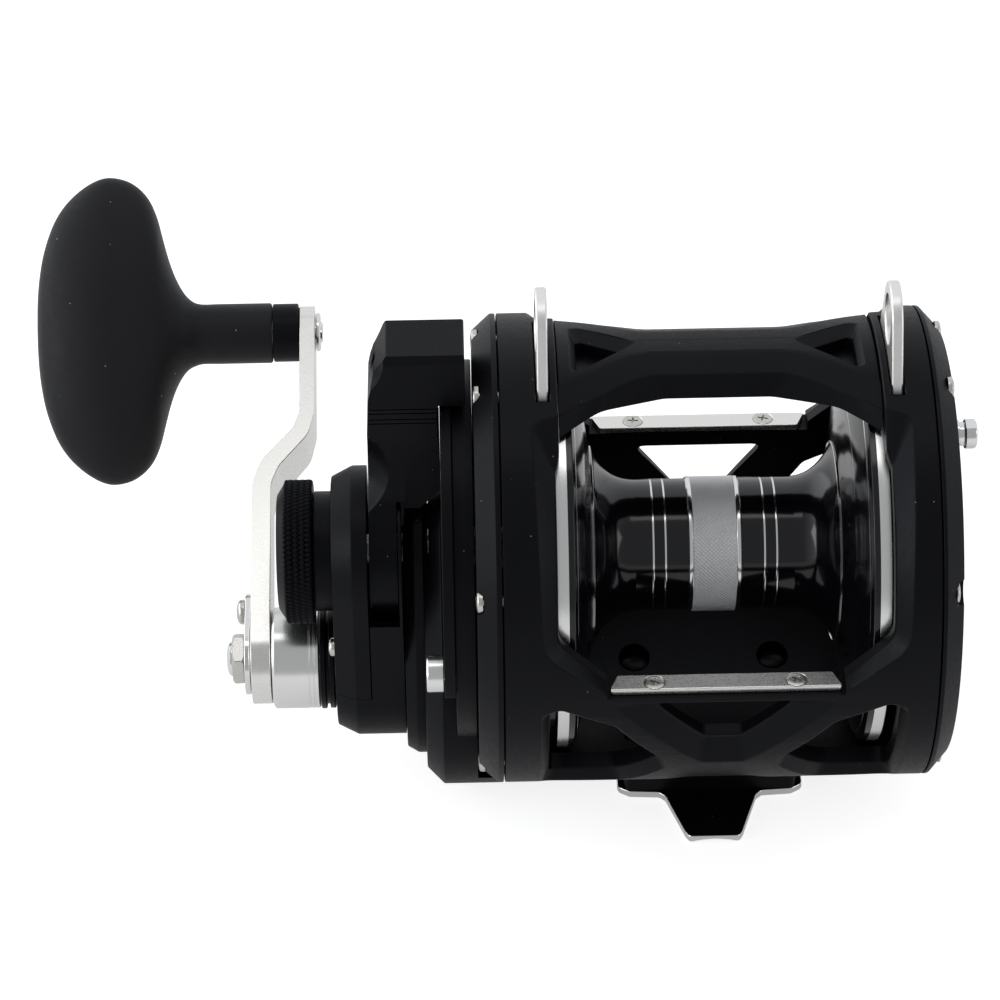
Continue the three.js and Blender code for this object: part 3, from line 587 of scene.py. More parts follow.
def frame_cutters(at):
    """Everything cut into one side of the frame; at puts an outline on that side."""
    out = [soft_cut(at(window_inner), at(window_outer), 30, 55, 58.5, 110)]
    for side in (1, -1):
        inner = side_window if side > 0 else mirror_x(side_window)
        outer = side_outer if side > 0 else mirror_x(side_outer)
        out.append(soft_cut(at(inner), at(outer), 40, 55.5, 58.5, 80))
    out.append(wrapped([
        (54.6, at(recess_inner)), (58.2, at(between(recess_inner, recess_outer, 0.93))),
        (58.52, at(grow(recess_outer, 0.3))), (75, at(grow(recess_outer, 0.3)))]))
    out.append(wrapped([
        (45, at(recess_hole)), (54.4, at(recess_hole)), (54.8, at(grow(recess_hole, 0.4))),
        (60, at(grow(recess_hole, 0.4)))]))
    arch = rounded(foot_arch, [2.5, 2.5, 2.5, 2.5, 0, 0], 4)
    out.append(wrapped([(54.5, at(arch)), (58.2, at(arch)), (58.52, at(grow(arch, 0.3))),
                        (75, at(grow(arch, 0.3)))]))
    return out


def make_frame():
    shell = revolve(rounded([(-52.8, 51.5), (-52.8, 58.5), (50.8, 58.5), (50.8, 51.5)],
                            [0.3, 0.45, 0.45, 0.3], 3), 360)
    outline = rounded([(-22, -18.5), (22, -18.5), (22, 18.5), (-22, 18.5)], 2.5, 5)
    pad = cut(prism(outline, -65, -50, "Z"), disc(-30, 30, 53.5, 180))
    tools = [frame_cutters(lambda p: p), frame_cutters(mirror_y)]
    for side in (-1, 1):
        tools.append(box((-28.5, 28.5), (50, 60) if side > 0 else (-60, -50), (-2.15, 3)))
        for end in (-1, 1):
            tools.append(prism(arc(end * 17, side * 54.4, 1.5, 0, 345, 23), -4.6, 0, "Z"))
            tools.append(prism(arc(end * 18, side * 16, 2.3, 0, 345, 23), -70, -40, "Z"))
            tools.append(prism(arc(end * 18, side * 16, 4.1, 0, 352.5, 47), -52.3, -40, "Z"))
        slot = [(side * LUG_X + x, a) for x, a in ((-1.7, 73), (1.7, 73), (1.7, 107), (-1.7, 107))]
        tools.append(wrapped([(53.9, slot), (58.2, slot), (58.52, grow(slot, 0.2)),
                              (75, grow(slot, 0.2))]))
    return cut(join(shell, pad), tools)


piece("frame_shell", make_frame(), BLACK, "frame", ["main_frame"])


def make_top_bar():
    radii = [0, 0, 11, 9, 9, 11, 0, 0, 0, 0, 11, 9, 9, 11, 0, 0]

    def level(quarter):
        half = quarter + mirror_x(quarter)[::-1]
        whole = half + [(x, -a) for x, a in half[::-1]]
        return rounded([(x, a + 97.25) for x, a in whole], radii, 6)

    land = level([(60, 20.5), (39.8, 19.6), (30, 13), (19, 5.75)])
    shoulder = level([(60, 28), (39.3, 27), (28, 19.8), (17.5, 12.75)])
    skirt = level([(60, 32), (38.6, 30.2), (28.5, 21.8), (13, 17.6)])
    faceted = wrapped([
        (40, skirt), (51.5, skirt), (55.1, between(skirt, shoulder, 0.93)),
        (55.5, between(shoulder, land, 0.09)), (56.75, between(shoulder, land, 0.86)),
        (57.02, grow(land, -0.5)), (90, grow(land, -0.5))])
    body = keep(faceted, revolve(
        rounded([(-38.6, 51.5), (-38.6, 57), (38.6, 57), (38.6, 51.5)], 0.3, 3), 360))
    pocket = [(35.4, 9.5), (35.4, -11.5), (33.5, -12), (18.8, 0), (33.5, 10)]
    hole = [(33.9, 4.5), (33.9, -9.5), (32.5, -10), (22.8, -1.5), (32.5, 5)]
    through = [(33.9, -5.2), (33.9, -9.5), (32.5, -10), (29.0, -7), (32.5, -5)]
    tools = []
    for side in (1, -1):
        mouth, neck, low = (
            rounded([(side * x, a + 96.25) for x, a in corners], [1, 1, 1, 1.2, 1], 4)
            for corners in (pocket, hole, through))
        tools.append(wrapped([
            (45, low), (51.9, low), (51.95, neck), (54.9, neck), (55.2, between(neck, mouth, 0.1)),
            (56.75, between(neck, mouth, 0.95)), (57.02, grow(mouth, 0.25)),
            (70, grow(mouth, 0.25))]))
    return cut(body, tools)


piece("cross_bar", make_top_bar(), BLACK, "frame", ["top_bar"])


def make_lug(side):
    """A harness lug: a plate on the ring, round at the top, with a countersunk eye."""
    middle = side * LUG_X
    base = [polar(54.2, 90 + 15.4 * (1 - 2 * k / 12)) for k in range(13)]
    y, z = polar(56.6, 105.4)
    outline = base[::-1] + [(y, z)] + arc(0, EYE_Z, 9.25, 20, 160, 48) + [(-y, z)]
    plate = prism(outline[::-1], middle - 1.4, middle + 1.4, "X", 0.55, 4)
    eye = [(-3, 0), (-3, 7.6), (-1.2, 6.15), (-0.7, 6), (0.7, 6), (1.2, 6.15), (3, 7.6), (3, 0)]
    return cut(plate, revolve([(middle + x, r) for x, r in eye], 96, 0, EYE_Z))


for side, where in ((-1, "handle"), (1, "tail")):
    piece(f"{where}_lug", make_lug(side), SATIN, "frame", [f"harness_lug_{where}_side"])

for side, where in ((-1, "front"), (1, "rear")):
    corners = [(-28, 57 * side), (28, 57 * side), (25.8, 51.4 * side), (-25.8, 51.4 * side)]
    plate = prism(rounded(corners, 0.8, 3), -2.1, -0.4, "Z", 0.3, 3)
    holes = []
    for end in (-1, 1):
        holes.append(loft([(-5, arc(end * 17, 54.4 * side, 1.5, 0, 350, 35)),
                           (-1.5, arc(end * 17, 54.4 * side, 1.5, 0, 350, 35)),
                           (-0.35, arc(end * 17, 54.4 * side, 2.75, 0, 350, 35)),
                           (1, arc(end * 17, 54.4 * side, 2.75, 0, 350, 35))], "Z"))
    piece(f"{where}_line_guard", cut(plate, holes), BRUSHED, "frame", [f"line_guard_{where}"])
    for end, hand in ((-1, "left"), (1, "right")):
        head = revolve([(-4.3, 0), (-4.3, 1.2), (-1.7, 1.2), (-0.62, 2.4), (-0.42, 2.5),
                        (-0.28, 2.3), (-0.2, 1.6), (-0.16, 0)], 64)
        head = cut(head, cross_recess(1.45, 1.0, -0.16, -1))
        turn = Matrix.Rotation(math.radians(-90), 4, "Y")
        spin = Matrix.Rotation(math.radians(25 + 40 * end + 10 * side), 4, "Z")
        place = Matrix.Translation((end * 17, side * 54.4, 0)) @ spin @ turn
        piece(f"{where}_guard_screw_{hand}", moved(head, place), STEEL, "frame",
              [f"guard_screw_{where}_{hand}"])


def make_foot():
    quarter = [(23.7, 16.6), (20.7, 18.6), (13.1, 19.1), (11.6, 20.6), (7.3, 34.6), (6.3, 36.5)]
    top = quarter + [(-x, y) for x, y in reversed(quarter)]
    outline = top + [(-x, -y) for x, y in top]
    radii = [2.2, 2.2, 1.5, 2, 2, 1.6] + [1.6, 2, 2, 1.5, 2.2, 2.2]
    plate = prism(rounded(outline, radii * 2, 4), -67, -65, "Z", 0.35, 3)
    tools = []
    for y0, y1 in ((24, 45), (-45, -24)):
        tools.append(prism(arc(0, -85.9, 20, 0, 357, 119), y0, y1, "Y"))
    for side in (-1, 1):
        for end in (-1, 1):
            tools.append(prism(arc(end * 18, side * 16, 2.3, 0, 345, 23), -70, -60, "Z"))
    return cut(plate, tools)


# Faces that lie flat take the black material and the upright faces bright metal, picked by which
# way each face points.
piece("rod_foot", make_foot(), [BLACK, SILVER], "frame", ["reel_foot"],
      choose=lambda f: 1 if abs(f.normal.z) < 0.8 else 0)

for side, where in ((-1, "front"), (1, "rear")):
    for end, hand in ((-1, "left"), (1, "right")):
        head = revolve([(-66.7, 0), (-66.7, 2), (-52, 2), (-52, 3.75), (-50.6, 3.7), (-50.1, 3.4),
                        (-49.7, 2.6), (-49.5, 1.5), (-49.4, 0)], 64)
        turn = Matrix.Rotation(math.radians(-90), 4, "Y")
        place = Matrix.Translation((end * 18, side * 16, 0)) @ turn
        piece(f"{where}_foot_bolt_{hand}", moved(head, place), BLACK_SHEEN, "frame",
              [f"foot_screw_{where}_{hand}"])

# ---------------------------------------------------------------- side covers


def counterbores(x0, x1):
    """Screw seats that break out through the rim's chamfer."""
    return [disc(x0, x1, 3.1, 48, *polar(SCREW_RING, a)) for a in SCREW_ANGLES]


handle_cover = revolve(rounded([
    (-53.1, 50), (-53.1, 58.5), (-54.4, 58.5), (-59.1, 54.3), (-59.1, 10.3), (-55, 10.3),
    (-55, 13), (-56.4, 13), (-56.4, 50)], [0, 0.3, 0.6, 0.6, 0, 0, 0, 0, 0], 3), 360)
piece("handle_cover", cut(handle_cover, counterbores(-61, -57.4)), BLACK, "frame",
      ["handle_side_cover"])

tail_cover = revolve(
    [(57.4, 0), (52.6, 0), (52.6, 8.3), (48, 8.3), (48, 11), (54.4, 11), (54.4, 50), (51.1, 50)]
    + rounded([(51.1, 50), (51.1, 58.5), (52, 58.5), (56.5, 53.5), (57.05, 38), (57.3, 20),
               (57.4, 0)], [0, 0.3, 0.6, 0.8, 8, 8, 0], 3, closed=False)[1:-1]
    + [(57.4, 0)], 360)
slot = arc(0, 32, 2.3, 0, 180, 16) + arc(0, 27, 2.3, 180, 360, 16)
piece("tail_cover", cut(tail_cover, prism(slot, 50, 60), counterbores(55, 60)), BLACK, "frame",
      ["tail_side_cover"])

for i, angle in enumerate(SCREW_ANGLES):
    head = head_along_x(-59.4, -57.7, 2.75, 0.75, 1, 1.1, 15 + 37 * i)
    stem = disc(-58, -47, 1.3, 24)
    piece(f"handle_cover_screw_{i + 1}", at_polar(join(head, stem), SCREW_RING, angle), STEEL,
          "frame", [f"cover_screw_{i + 1}"])
    top, low, dome, recess = (55.5, 54.6, 0.6, 0.9) if angle in SUNK_TAIL_SCREWS else (
        56.7, 55.05, 0.75, 1.1)
    head = head_along_x(top, low, 2.75, dome, -1, recess, 61 + 29 * i)
    piece(f"tail_cover_screw_{i + 1}", at_polar(head, SCREW_RING, angle), STEEL, "frame")

# ---------------------------------------------------------------- gearbox


def stepped(upper, lower, x0, x1, wide, deep, soft=0.35, steps=60):
    """An outline around two circles, lofted along X, with a soft-edged chamfer at x0."""
    def at(inset):
        return two_circles((upper[0], upper[1] - inset), (lower[0], lower[1] - inset), steps)
    slope = soft / math.hypot(wide, deep)
    return loft([
        (x0, at(wide + soft)), (x0 + soft * 0.25, at(wide + soft * 0.1)),
        (x0 + soft * 0.25 + deep * slope, at(wide * (1 - slope))),
        (x0 + deep * (1 - slope), at(wide * slope)), (x0 + deep + soft * 0.4, at(0)),
        (x1, at(0))])


gearbox = stepped((0, 17.3), (CRANK_Z, 32.8), -72.1, -53.3, 4.2, 4.2)
drum = ring(-64.4, -59.4, 47.2, 43.5, 240, soft=0.3)
face = disc(-64.4, -62.7, 47.2, 240, soft=0.3)
button_y, button_z = polar(43, -7.5)
piece("gearbox_case", cut(
    join(gearbox, drum, face), disc(-59.4, -50, 58.8, 240),
    disc(-70.9, -59.1, 28.8, 90, 0, CRANK_Z), disc(-70.9, -59.1, 14.6, 60),
    disc(-75, -65, 5.7, 48), disc(-75, -65, 7, 48, 0, CRANK_Z),
    disc(-68, -55, 2.1, 32, button_y, button_z)), BLACK, "frame", ["gearbox_housing"])

piece("gearbox_plate", cut(
    stepped((0, 14.8), (CRANK_Z, 24.7), -77, -72.12, 1.6, 2.8, 0.3), disc(-80, -70, 5, 48),
    disc(-77.5, -72.8, 10.3, 64, 0, CRANK_Z), disc(-80, -70, 7, 48, 0, CRANK_Z)),
    BLACK, "frame", ["gearbox_cap"])

SEAM_Z = -32.0


def boss_block():
    return stepped((0, 21.3), (CRANK_Z, 19.8), -94.6, -77.3, 2.6, 5.2, 0.4)


piece("boss_body", cut(
    boss_block(), disc(-85.5, -78, 22.5, 120), box((-85.5, -78), (-30, 30), (-5, 30)),
    cut(box((-100, -85.48), (-30, 30), (SEAM_Z, 40)), disc(-101, -80, 13.5, 120, 0, CRANK_Z)),
    disc(-100, -70, 5, 48), disc(-100, -70, 7, 48, 0, CRANK_Z),
    disc(-94, -89.8, 10.3, 64, 0, CRANK_Z)), BLACK, "frame", ["gearbox_boss"])

hub_shell = cut(
    boss_block(), box((-85.8, -60), (-40, 40), (-80, 40)),
    box((-100, -60), (-40, 40), (-80, SEAM_Z + 0.12)),
    disc(-100, -80, 13.65, 120, 0, CRANK_Z))
piece("hub_cap", cut(
    join(hub_shell, disc(-99, -94, 15, 120, soft=0.4)), disc(-97.6, -80, 12.5, 64),
    disc(-100, -80, 5, 48)), BLACK, "frame", ["hub_cover"])

head = head_along_x(-96.1, -94.5, 2.3, 0.8, 1, 0.8, 30)
piece("hub_cap_screw", moved(head, Matrix.Translation((0, -15.2, -18.6))), STEEL, "frame")


def make_quadrant():
    rim = [polar(48.6, -11.5 + 163.5 * k / 110) for k in range(111)]
    outline = rim + [polar(21, 152), polar(12, 60), polar(21, -11.5)]
    radii = [1.2 if k in (0, 110) else 0 for k in range(111)] + [0, 0, 0]
    return cut(
        prism(rounded(outline, radii, 4)[::-1], -67.2, -64.42, "X", 0.25, 3),
        loft([(-75, two_circles((0, 17.6), (CRANK_Z, 33.1))),
              (-60, two_circles((0, 17.6), (CRANK_Z, 33.1)))]),
        disc(-70, -60, 4.8, 64, button_y, button_z))


piece("quadrant_plate", make_quadrant(), BLACK, "frame", ["lever_quadrant"])

button = revolve([(-71.6, 0), (-71.6, 3.9), (-71.45, 4.4), (-71.1, 4.65), (-67.5, 4.65),
                  (-67.3, 4.4), (-67.3, 1.8), (-63.2, 1.8), (-63.2, 0)], 96)
piece("stop_button_cap", at_polar(button, 43, -7.5), TURNED, "stop_button",
      ["lever_stop_button"])

# ---------------------------------------------------------------- drag lever and preset knob


def make_lever():
    side = [(-85.2, 10), (-84.9, 39), (-84.3, 51), (-82.9, 57.8), (-79.8, 63.5), (-60.9, 63.5),
            (-60.9, 49.3), (-67.8, 49.3), (-67.8, 39), (-67.35, 38), (-67.35, 21.5), (-72.5, 16.1),
            (-77.1, 16.1), (-77.1, 21.8), (-78.3, 21.8), (-78.3, 10)]
    side = rounded(side, [0, 0, 6, 5, 0.8, 0.8, 0.6, 0.8, 0.2, 0.2, 1, 1] + [0] * 4, 5)
    under = rounded([(-60, 37), (-68, 36.5), (-72.6, 33.6), (-75.4, 28.6), (-77, 12), (-60, 8)],
                    [0, 4, 4, 4, 0, 0], 5)
    front = arc(0, 0, 18, 180, 360, 60)
    front += [(18, 2), (9.5, 22), (6.8, 36), (8.5, 49), (8.5, 61), (6, 70),
              (-6, 70), (-8.5, 61), (-8.5, 49), (-6.8, 36), (-9.5, 22), (-18, 2)]
    smooth = rounded(front[61:], [2, 14, 20, 6, 3, 1, 1, 3, 6, 20, 14, 2], 8)
    arm = keep(prism(side[::-1], -20, 20, "Y"), loft([(-90, front[:61] + smooth),
                                                     (-55, front[:61] + smooth)]))
    hub = disc(-85.2, -78.3, 18, 180)
    body = join(arm, hub)
    tools = [disc(-90, -70, 5, 64)]
    for sign in (-1, 1):
        tools.append(ball((-92, sign * 15.4, 31), (14.3, 14.3, 14.3)))
        tools.append(ball((-92.2, sign * 15.4, 62.5), (13.8, 13.8, 13.8)))
        tools.append(prism(under, *sorted((sign * 4.6, sign * 20)), "Y"))
        for z in (48.4, 47.1, 45.2, 43.9):
            tools.append(box((-86, -66), (sign * 8.6, sign * 7.55) if sign < 0 else (7.55, 8.6),
                             (z - 0.17, z + 0.17)))
    tools.append(loft([(58.6, [(-85, -1.6), (-82.2, -1.6), (-82.2, 1.6), (-85, 1.6)]),
                       (55.2, [(-85, -1.6), (-82.2, -1.6), (-82.2, 1.6), (-85, 1.6)])][::-1], "Z"))
    return bevelled(cut(body, tools), 0.4, 3, 38)


piece("lever_arm", make_lever(), BLACK_SHEEN, "lever", ["drag_lever"], sharp=40)


def knurled(x0, x1, radius, deep, pitch, slant, columns, rows, inner, ends=0.4):
    """A ring whose outside is cut by two families of slanted grooves."""
    around = round(2 * math.pi * radius / pitch)
    verts, grid = [], []
    for i in range(rows + 1):
        x = x0 + (x1 - x0) * i / rows
        row = []
        edge = min(x - x0, x1 - x) / ends
        for k in range(columns):
            turn = k / columns
            waves = []
            for sense in (1, -1):
                phase = turn * around + sense * (x - x0) * slant / pitch
                waves.append(abs((phase % 1) * 2 - 1))
            depth = deep * max(waves) ** 2.2
            r = radius - depth - (max(0, 1 - edge) ** 2) * ends
            row.append(len(verts))
            verts.append((x, *polar(r, 360 * turn)))
        grid.append(row)
    for x in (x1, x0):
        row = list(range(len(verts), len(verts) + columns))
        verts.extend((x, *polar(inner, 360 * k / columns)) for k in range(columns))
        grid.append(row)
    return mesh_of(verts, bridge(grid + grid[:1]))


knob_core = revolve(
    rounded([(-108.2, 0), (-108.2, 14.2), (-106.4, 17.1), (-106.4, 17.25), (-99.3, 17.25),
             (-99.3, 5), (-105, 5), (-105, 0)], [0, 1.2, 0.2, 0, 0.4, 0, 0, 0], 4, closed=False),
    180)
piece("preset_knob_core", knob_core, BLACK, "preset", ["preset_knob"])
piece("preset_knob_knurl", knurled(-106.3, -99.3, 18.0, 0.5, 1.25, 0.42, 720, 34, 16.5),
      BLACK_SHEEN, "preset", sharp=60)

# ---------------------------------------------------------------- spool

flange = spline([(19.5, 16.4), (22.3, 16.9), (25, 18.2), (27.8, 20.8), (30.1, 24.75),
                 (31.4, 31.5), (32.5, 38.8), (33.7, 43.9), (35.1, 48.6)], 7)
right = [(6.6, 16.4)] + flange + rounded([(35.1, 48.6), (35.6, 50), (37, 50)], [0, 0.4, 0], 3,
                                         closed=False)[1:]
hollow = [(39.9, 50), (39.9, 42), (36.5, 42), (33, 20), (32, 9.3), (26, 9.3), (26, 5.2)]
ARBOR = 16.4
LINE_X = (12.2, 15.2)


def with_grooves(profile):
    """Adds a fine V groove under each bright line of the arbor."""
    out = list(profile)
    for x in LINE_X:
        i = next(k for k, p in enumerate(out) if p[0] > x)
        out[i:i] = [(x - 0.22, ARBOR), (x, ARBOR - 0.15), (x + 0.22, ARBOR)]
    return out


half = with_grooves(right + hollow)
piece("spool_body", revolve(mirror_x(half)[::-1] + half, 360), GLOSS, "spool", ["spool"],
      sharp=30)


def line_ring(x, r, slope, wide=0.42, proud=0.035):
    """A thin bright band lying on the spool's surface; slope is the profile's direction."""
    c, s = math.cos(slope), math.sin(slope)
    section = ((-wide / 2, -0.25), (-wide / 2, 0.4 * proud), (-wide / 4, proud),
               (wide / 4, proud), (wide / 2, 0.4 * proud), (wide / 2, -0.25))
    return [(x + c * along - s * up, r + s * along + c * up) for along, up in section]


lines = [(x, ARBOR, 0.0) for x in LINE_X]
for (x0, r0), (x1, r1) in (((29.2, 22.9), (30.6, 26.9)), ((32.1, 36.2), (32.9, 41)),
                           ((34.5, 46.8), (35.1, 48.6))):
    lines.append(((x0 + x1) / 2, (r0 + r1) / 2, math.atan2(r1 - r0, x1 - x0)))
number = 0
for x, r, slope in lines:
    for hand in (1, -1):
        number += 1
        shape = [(hand * px, pr) for px, pr in line_ring(x, r, slope)]
        piece(f"spool_line_{number}", revolve(shape, 240), SILVER, "spool",
              sharp=60)
piece("spool_knurled_band", knurled(-5.4, 5.4, 16.9, 0.3, 1.0, 1.0, 840, 84, 16.0, 0.15),
      KNURL, "spool", sharp=60)
for number, hand in ((1, -1), (2, 1)):
    rim = [(5.4, 16.2), (5.4, 16.78), (5.6, 16.88), (6.3, 16.88), (6.6, 16.6), (6.6, 16.2)]
    piece(f"spool_band_rim_{number}", revolve([(hand * x, r) for x, r in rim], 240), SILVER,
          "spool")
    rim = rounded([(37, 49.6), (37, 50.02), (39.9, 50.02), (39.9, 49.6)], [0, 0.2, 0.4, 0], 3)
    piece(f"spool_rim_{number}", revolve([(hand * x, r) for x, r in rim], 360), TURNED,
          "spool")

# ---------------------------------------------------------------- crank


def along_crank(mesh):
    spin = Matrix.Rotation(math.radians(90 - CRANK_ANGLE), 4, "X")
    return moved(mesh, Matrix.Translation((0, 0, CRANK_Z)) @ spin)


spacer = revolve([
    (-98.7, 6.3), (-98.7, 12.9), (-98.55, 13.1), (-97.5, 13.1), (-97.35, 12.9), (-97.2, 11.9),
    (-96.6, 11.9), (-96.45, 12.9), (-96.3, 13.0), (-95.3, 13.0), (-95.1, 12.8), (-95.1, 6.3)], 160)
piece("crank_flange", along_crank(spacer), BLACK_SHEEN, "crank", ["crank_spacer"])

hub = revolve([
    (-110.9, 6.3), (-110.9, 12.0), (-110.7, 12.4), (-110.2, 12.9), (-101.6, 12.9),
    (-101.5, 12.72),
    (-101.3, 12.72), (-101.2, 12.9), (-100.4, 12.9), (-100.3, 12.72), (-100.1, 12.72),
    (-100.0, 12.9), (-99.2, 12.9), (-99.0, 12.7), (-99, 6.3)], 240)
piece("crank_collar", along_crank(hub), TURNED, "crank", ["crank_hub"])


def make_arm():
    side = rounded([
        (-116.2, -13), (-116.2, 45), (-113.8, 52), (-105.6, 61.5), (-104, 66), (-104, 102),
        (-100, 102), (-100, 66), (-101.6, 59.5), (-109.2, 50.2), (-111.2, 45), (-111.2, -13)],
        [0, 9, 9, 6, 6, 0, 0, 8, 8, 7, 7, 0], 6)
    front = two_circles((CRANK_LENGTH, 6.9), (0, 11.6), 40)
    arm = keep(prism(side, -13, 13, "Y"), loft([(-120, front), (-95, front)]))
    arm = cut(arm, disc(-118, -109, 6.3, 48), disc(-106, -98, 3.3, 48, 0, CRANK_LENGTH))
    return bevelled(arm, 0.7, 4, 40)


piece("crank_lever", along_crank(make_arm()), BRUSHED, "crank", ["crank_arm"], sharp=45)

plate = prism(two_circles((13, 4.6), (0, 9.2), 36), -118, -116.5, "X", 0.35, 4)
plate = cut(plate, disc(-119, -115, 6.3, 48), disc(-119, -115, 1.7, 24, 0, 13))
piece("nut_lock_plate", along_crank(plate), SILVER, "crank", ["lock_plate"])

screw = join(head_along_x(-120.4, -118.3, 3.2, 1.3, 1, 1.2, 35), disc(-118.5, -116.7, 1.4, 24))
piece("lock_plate_screw", along_crank(moved(screw, Matrix.Translation((0, 0, 13)))), STEEL,
      "crank", ["lock_screw"])

hexagon = [polar(12 / math.sqrt(3), 60 * k + 30) for k in range(6)]
nut = keep(loft([(-121.2, rounded(hexagon, 0.5, 4)), (-118.3, rounded(hexagon, 0.5, 4))]),
           revolve([(-121.2, 0), (-121.2, 5.7), (-120.3, 7.1), (-118.9, 7.1), (-118.3, 6.4),
                    (-118.3, 0)], 120))
piece("arm_nut", along_crank(cut(nut, disc(-123, -117, 4.9, 64))), STEEL, "crank", ["crank_nut"])

button = revolve([(-122.7, 0), (-122.7, 1.4), (-122.6, 2.6), (-122.35, 3.6), (-121.9, 4.25),
                  (-121.4, 4.4), (-119.2, 4.4), (-119.2, 1.6), (-112, 1.6), (-112, 0)], 96)
piece("shift_push_button", along_crank(button), TURNED, "shift", ["shift_button"])

spindle_y, spindle_z = polar(CRANK_LENGTH, CRANK_ANGLE, CRANK_Z)
onto_spindle = Matrix.Translation((0, spindle_y, spindle_z))
spindle = revolve([
    (-166, 0), (-166, 3), (-99.7, 3), (-99.7, 4.9), (-99.5, 5.15), (-99.0, 5.15), (-98.6, 4.6),
    (-98.6, 2.9), (-98.2, 2.7), (-98, 2.2), (-98, 0)], 96)
piece("knob_shaft", moved(spindle, onto_spindle), TURNED, "crank", ["knob_spindle"])
washer = ring(-104.28, -104.02, 6.6, 3.4, 64)
piece("knob_washer", moved(washer, onto_spindle), BLACK, "crank")
collar = ring(-111.1, -104.35, 7.7, 3.4, 120, soft=0.45)
piece("grip_collar", moved(collar, onto_spindle), BLACK, "grip", ["knob_collar"])


def make_grip():
    """Sections across X, each an ellipse: place, half length and half depth."""
    outline = spline([
        (-173.6, 0.01, 0.004), (-173.35, 9, 3.0), (-172.6, 16, 5.2), (-171.2, 22.4, 7.3),
        (-168.6, 29.2, 9.5), (-165, 34.4, 11.0), (-160, 38.6, 12.1), (-155, 40.7, 12.5),
        (-150, 40.1, 12.5), (-146.2, 37.9, 12.45), (-143.4, 34.6, 12.3), (-141.5, 30.2, 12.15),
        (-140.2, 25.2, 11.95), (-138.8, 19.9, 11.6), (-137.2, 15.3, 11.0), (-135.3, 11.6, 10.1),
        (-133.2, 9.2, 8.9), (-130.4, 8.0, 7.98), (-126, 7.95, 7.95)], 6)
    outline[0] = (-173.6, 0.0, 0.0)
    outline += [(-111.9, 7.95, 7.95), (-111.55, 7.8, 7.8), (-111.4, 7.45, 7.45),
                (-111.4, 3.5, 3.5), (-166.5, 3.5, 3.5), (-166.5, 0, 0)]
    segments = 128
    verts, rows = [], []
    for x, long, deep in outline:
        if long < 1e-6:
            rows.append([len(verts)] * segments)
            verts.append((x, 0, 1.25 if x < -170 else 0))
            continue
        rows.append(list(range(len(verts), len(verts) + segments)))
        for k in range(segments):
            a = 2 * math.pi * k / segments
            off = 1.25 * min(max((-132 - x) / 9, 0), 1) if long > 3.6 or x < -170 else 0
            verts.append((x, deep * math.cos(a), long * math.sin(a) + off))
    return mesh_of(verts, bridge(rows))


spin = Matrix.Rotation(math.radians(90 - GRIP_ANGLE), 4, "X")
piece("t_handle", moved(make_grip(), onto_spindle @ spin), GRIP, "grip", ["t_grip"])

# ---------------------------------------------------------------- clicker

button = revolve([
    (42, 0), (42, 1.9), (57.9, 1.9), (57.9, 3.2), (58.1, 3.5), (60.0, 3.5), (60.2, 3.0),
    (61.2, 3.0), (61.4, 3.5), (61.7, 3.7), (63.6, 3.7), (64.1, 3.5), (64.4, 2.9), (64.4, 0)], 96,
    0, 32)
tongue = [(-0.45, 24.6), (0.45, 24.6), (1.6, 28), (2.9, 30.5), (2.9, 34.5), (-2.9, 34.5),
          (-2.9, 30.5), (-1.6, 28)]
flats = [box((61.6, 67), (-5, 5), z) for z in ((35.1, 37), (27, 28.9))]
piece("clicker_slider", cut(join(button, prism(tongue, 40.6, 42.1)), flats), SILVER, "clicker",
      ["clicker_button"])

# ---------------------------------------------------------------- floor, light and camera

FLOOR_HALF = 6.0  # metres
FLOOR_Z = -0.0001  # a hair below the foot
corners = [(FLOOR_HALF * x, FLOOR_HALF * y, FLOOR_Z)
           for x, y in ((-1, -1), (1, -1), (1, 1), (-1, 1))]
floor_mesh = bpy.data.meshes.new("floor")
floor_mesh.from_pydata(corners, [], [(0, 1, 2, 3)])
floor = bpy.data.objects.new("floor", floor_mesh)
bpy.context.scene.collection.objects.link(floor)
paper = Nodes("pale_floor")
paper.set(Roughness=0.9, Specular_IOR_Level=0.1)
cloud = paper.noise(3, 2)
paper.to(paper.ramp(cloud, (0.5, 0.5, 0.5), (0.54, 0.54, 0.54)), "Base Color")
paper.to(paper.ramp(cloud, (0.95, 0.95, 0.95), (0.98, 0.98, 0.98)), "Emission Color")
seen = paper.add("ShaderNodeLightPath")
paper.to(paper.remap(seen.outputs["Is Camera Ray"], 0, 1, 0.3, 0.84), "Emission Strength")
floor_mesh.materials.append(paper.material)

CAMERA_DISTANCE = 976.7
CAMERA_TILT = math.radians(36.892)
YAW, PITCH, ROLL = (math.radians(v) for v in (0.618, 0.696, 1.156))
towards = Vector((0, math.cos(CAMERA_TILT), -math.sin(CAMERA_TILT)))
upward = Vector((0, math.sin(CAMERA_TILT), math.cos(CAMERA_TILT)))
aside = Vector((1, 0, 0))
look = (towards * math.cos(YAW) * math.cos(PITCH) + aside * math.sin(YAW) * math.cos(PITCH)
        + upward * math.sin(PITCH)).normalized()
right_hand = look.cross(upward).normalized()
head_up = right_hand.cross(look)
camera_x = right_hand * math.cos(ROLL) - head_up * math.sin(ROLL)
camera_y = head_up * math.cos(ROLL) + right_hand * math.sin(ROLL)
camera_data = bpy.data.cameras.new("camera")
camera_data.lens, camera_data.sensor_width = 140.64, 36
camera_data.clip_start, camera_data.clip_end = 0.01, 30
camera = bpy.data.objects.new("camera", camera_data)
bpy.context.scene.collection.objects.link(camera)
place = Vector((-63.118, 0, AXIS_HEIGHT)) - towards * CAMERA_DISTANCE
camera.matrix_world = Matrix.Translation(place * MM) @ Matrix(
    (camera_x, camera_y, -look)).transposed().to_4x4()
bpy.context.scene.camera = camera

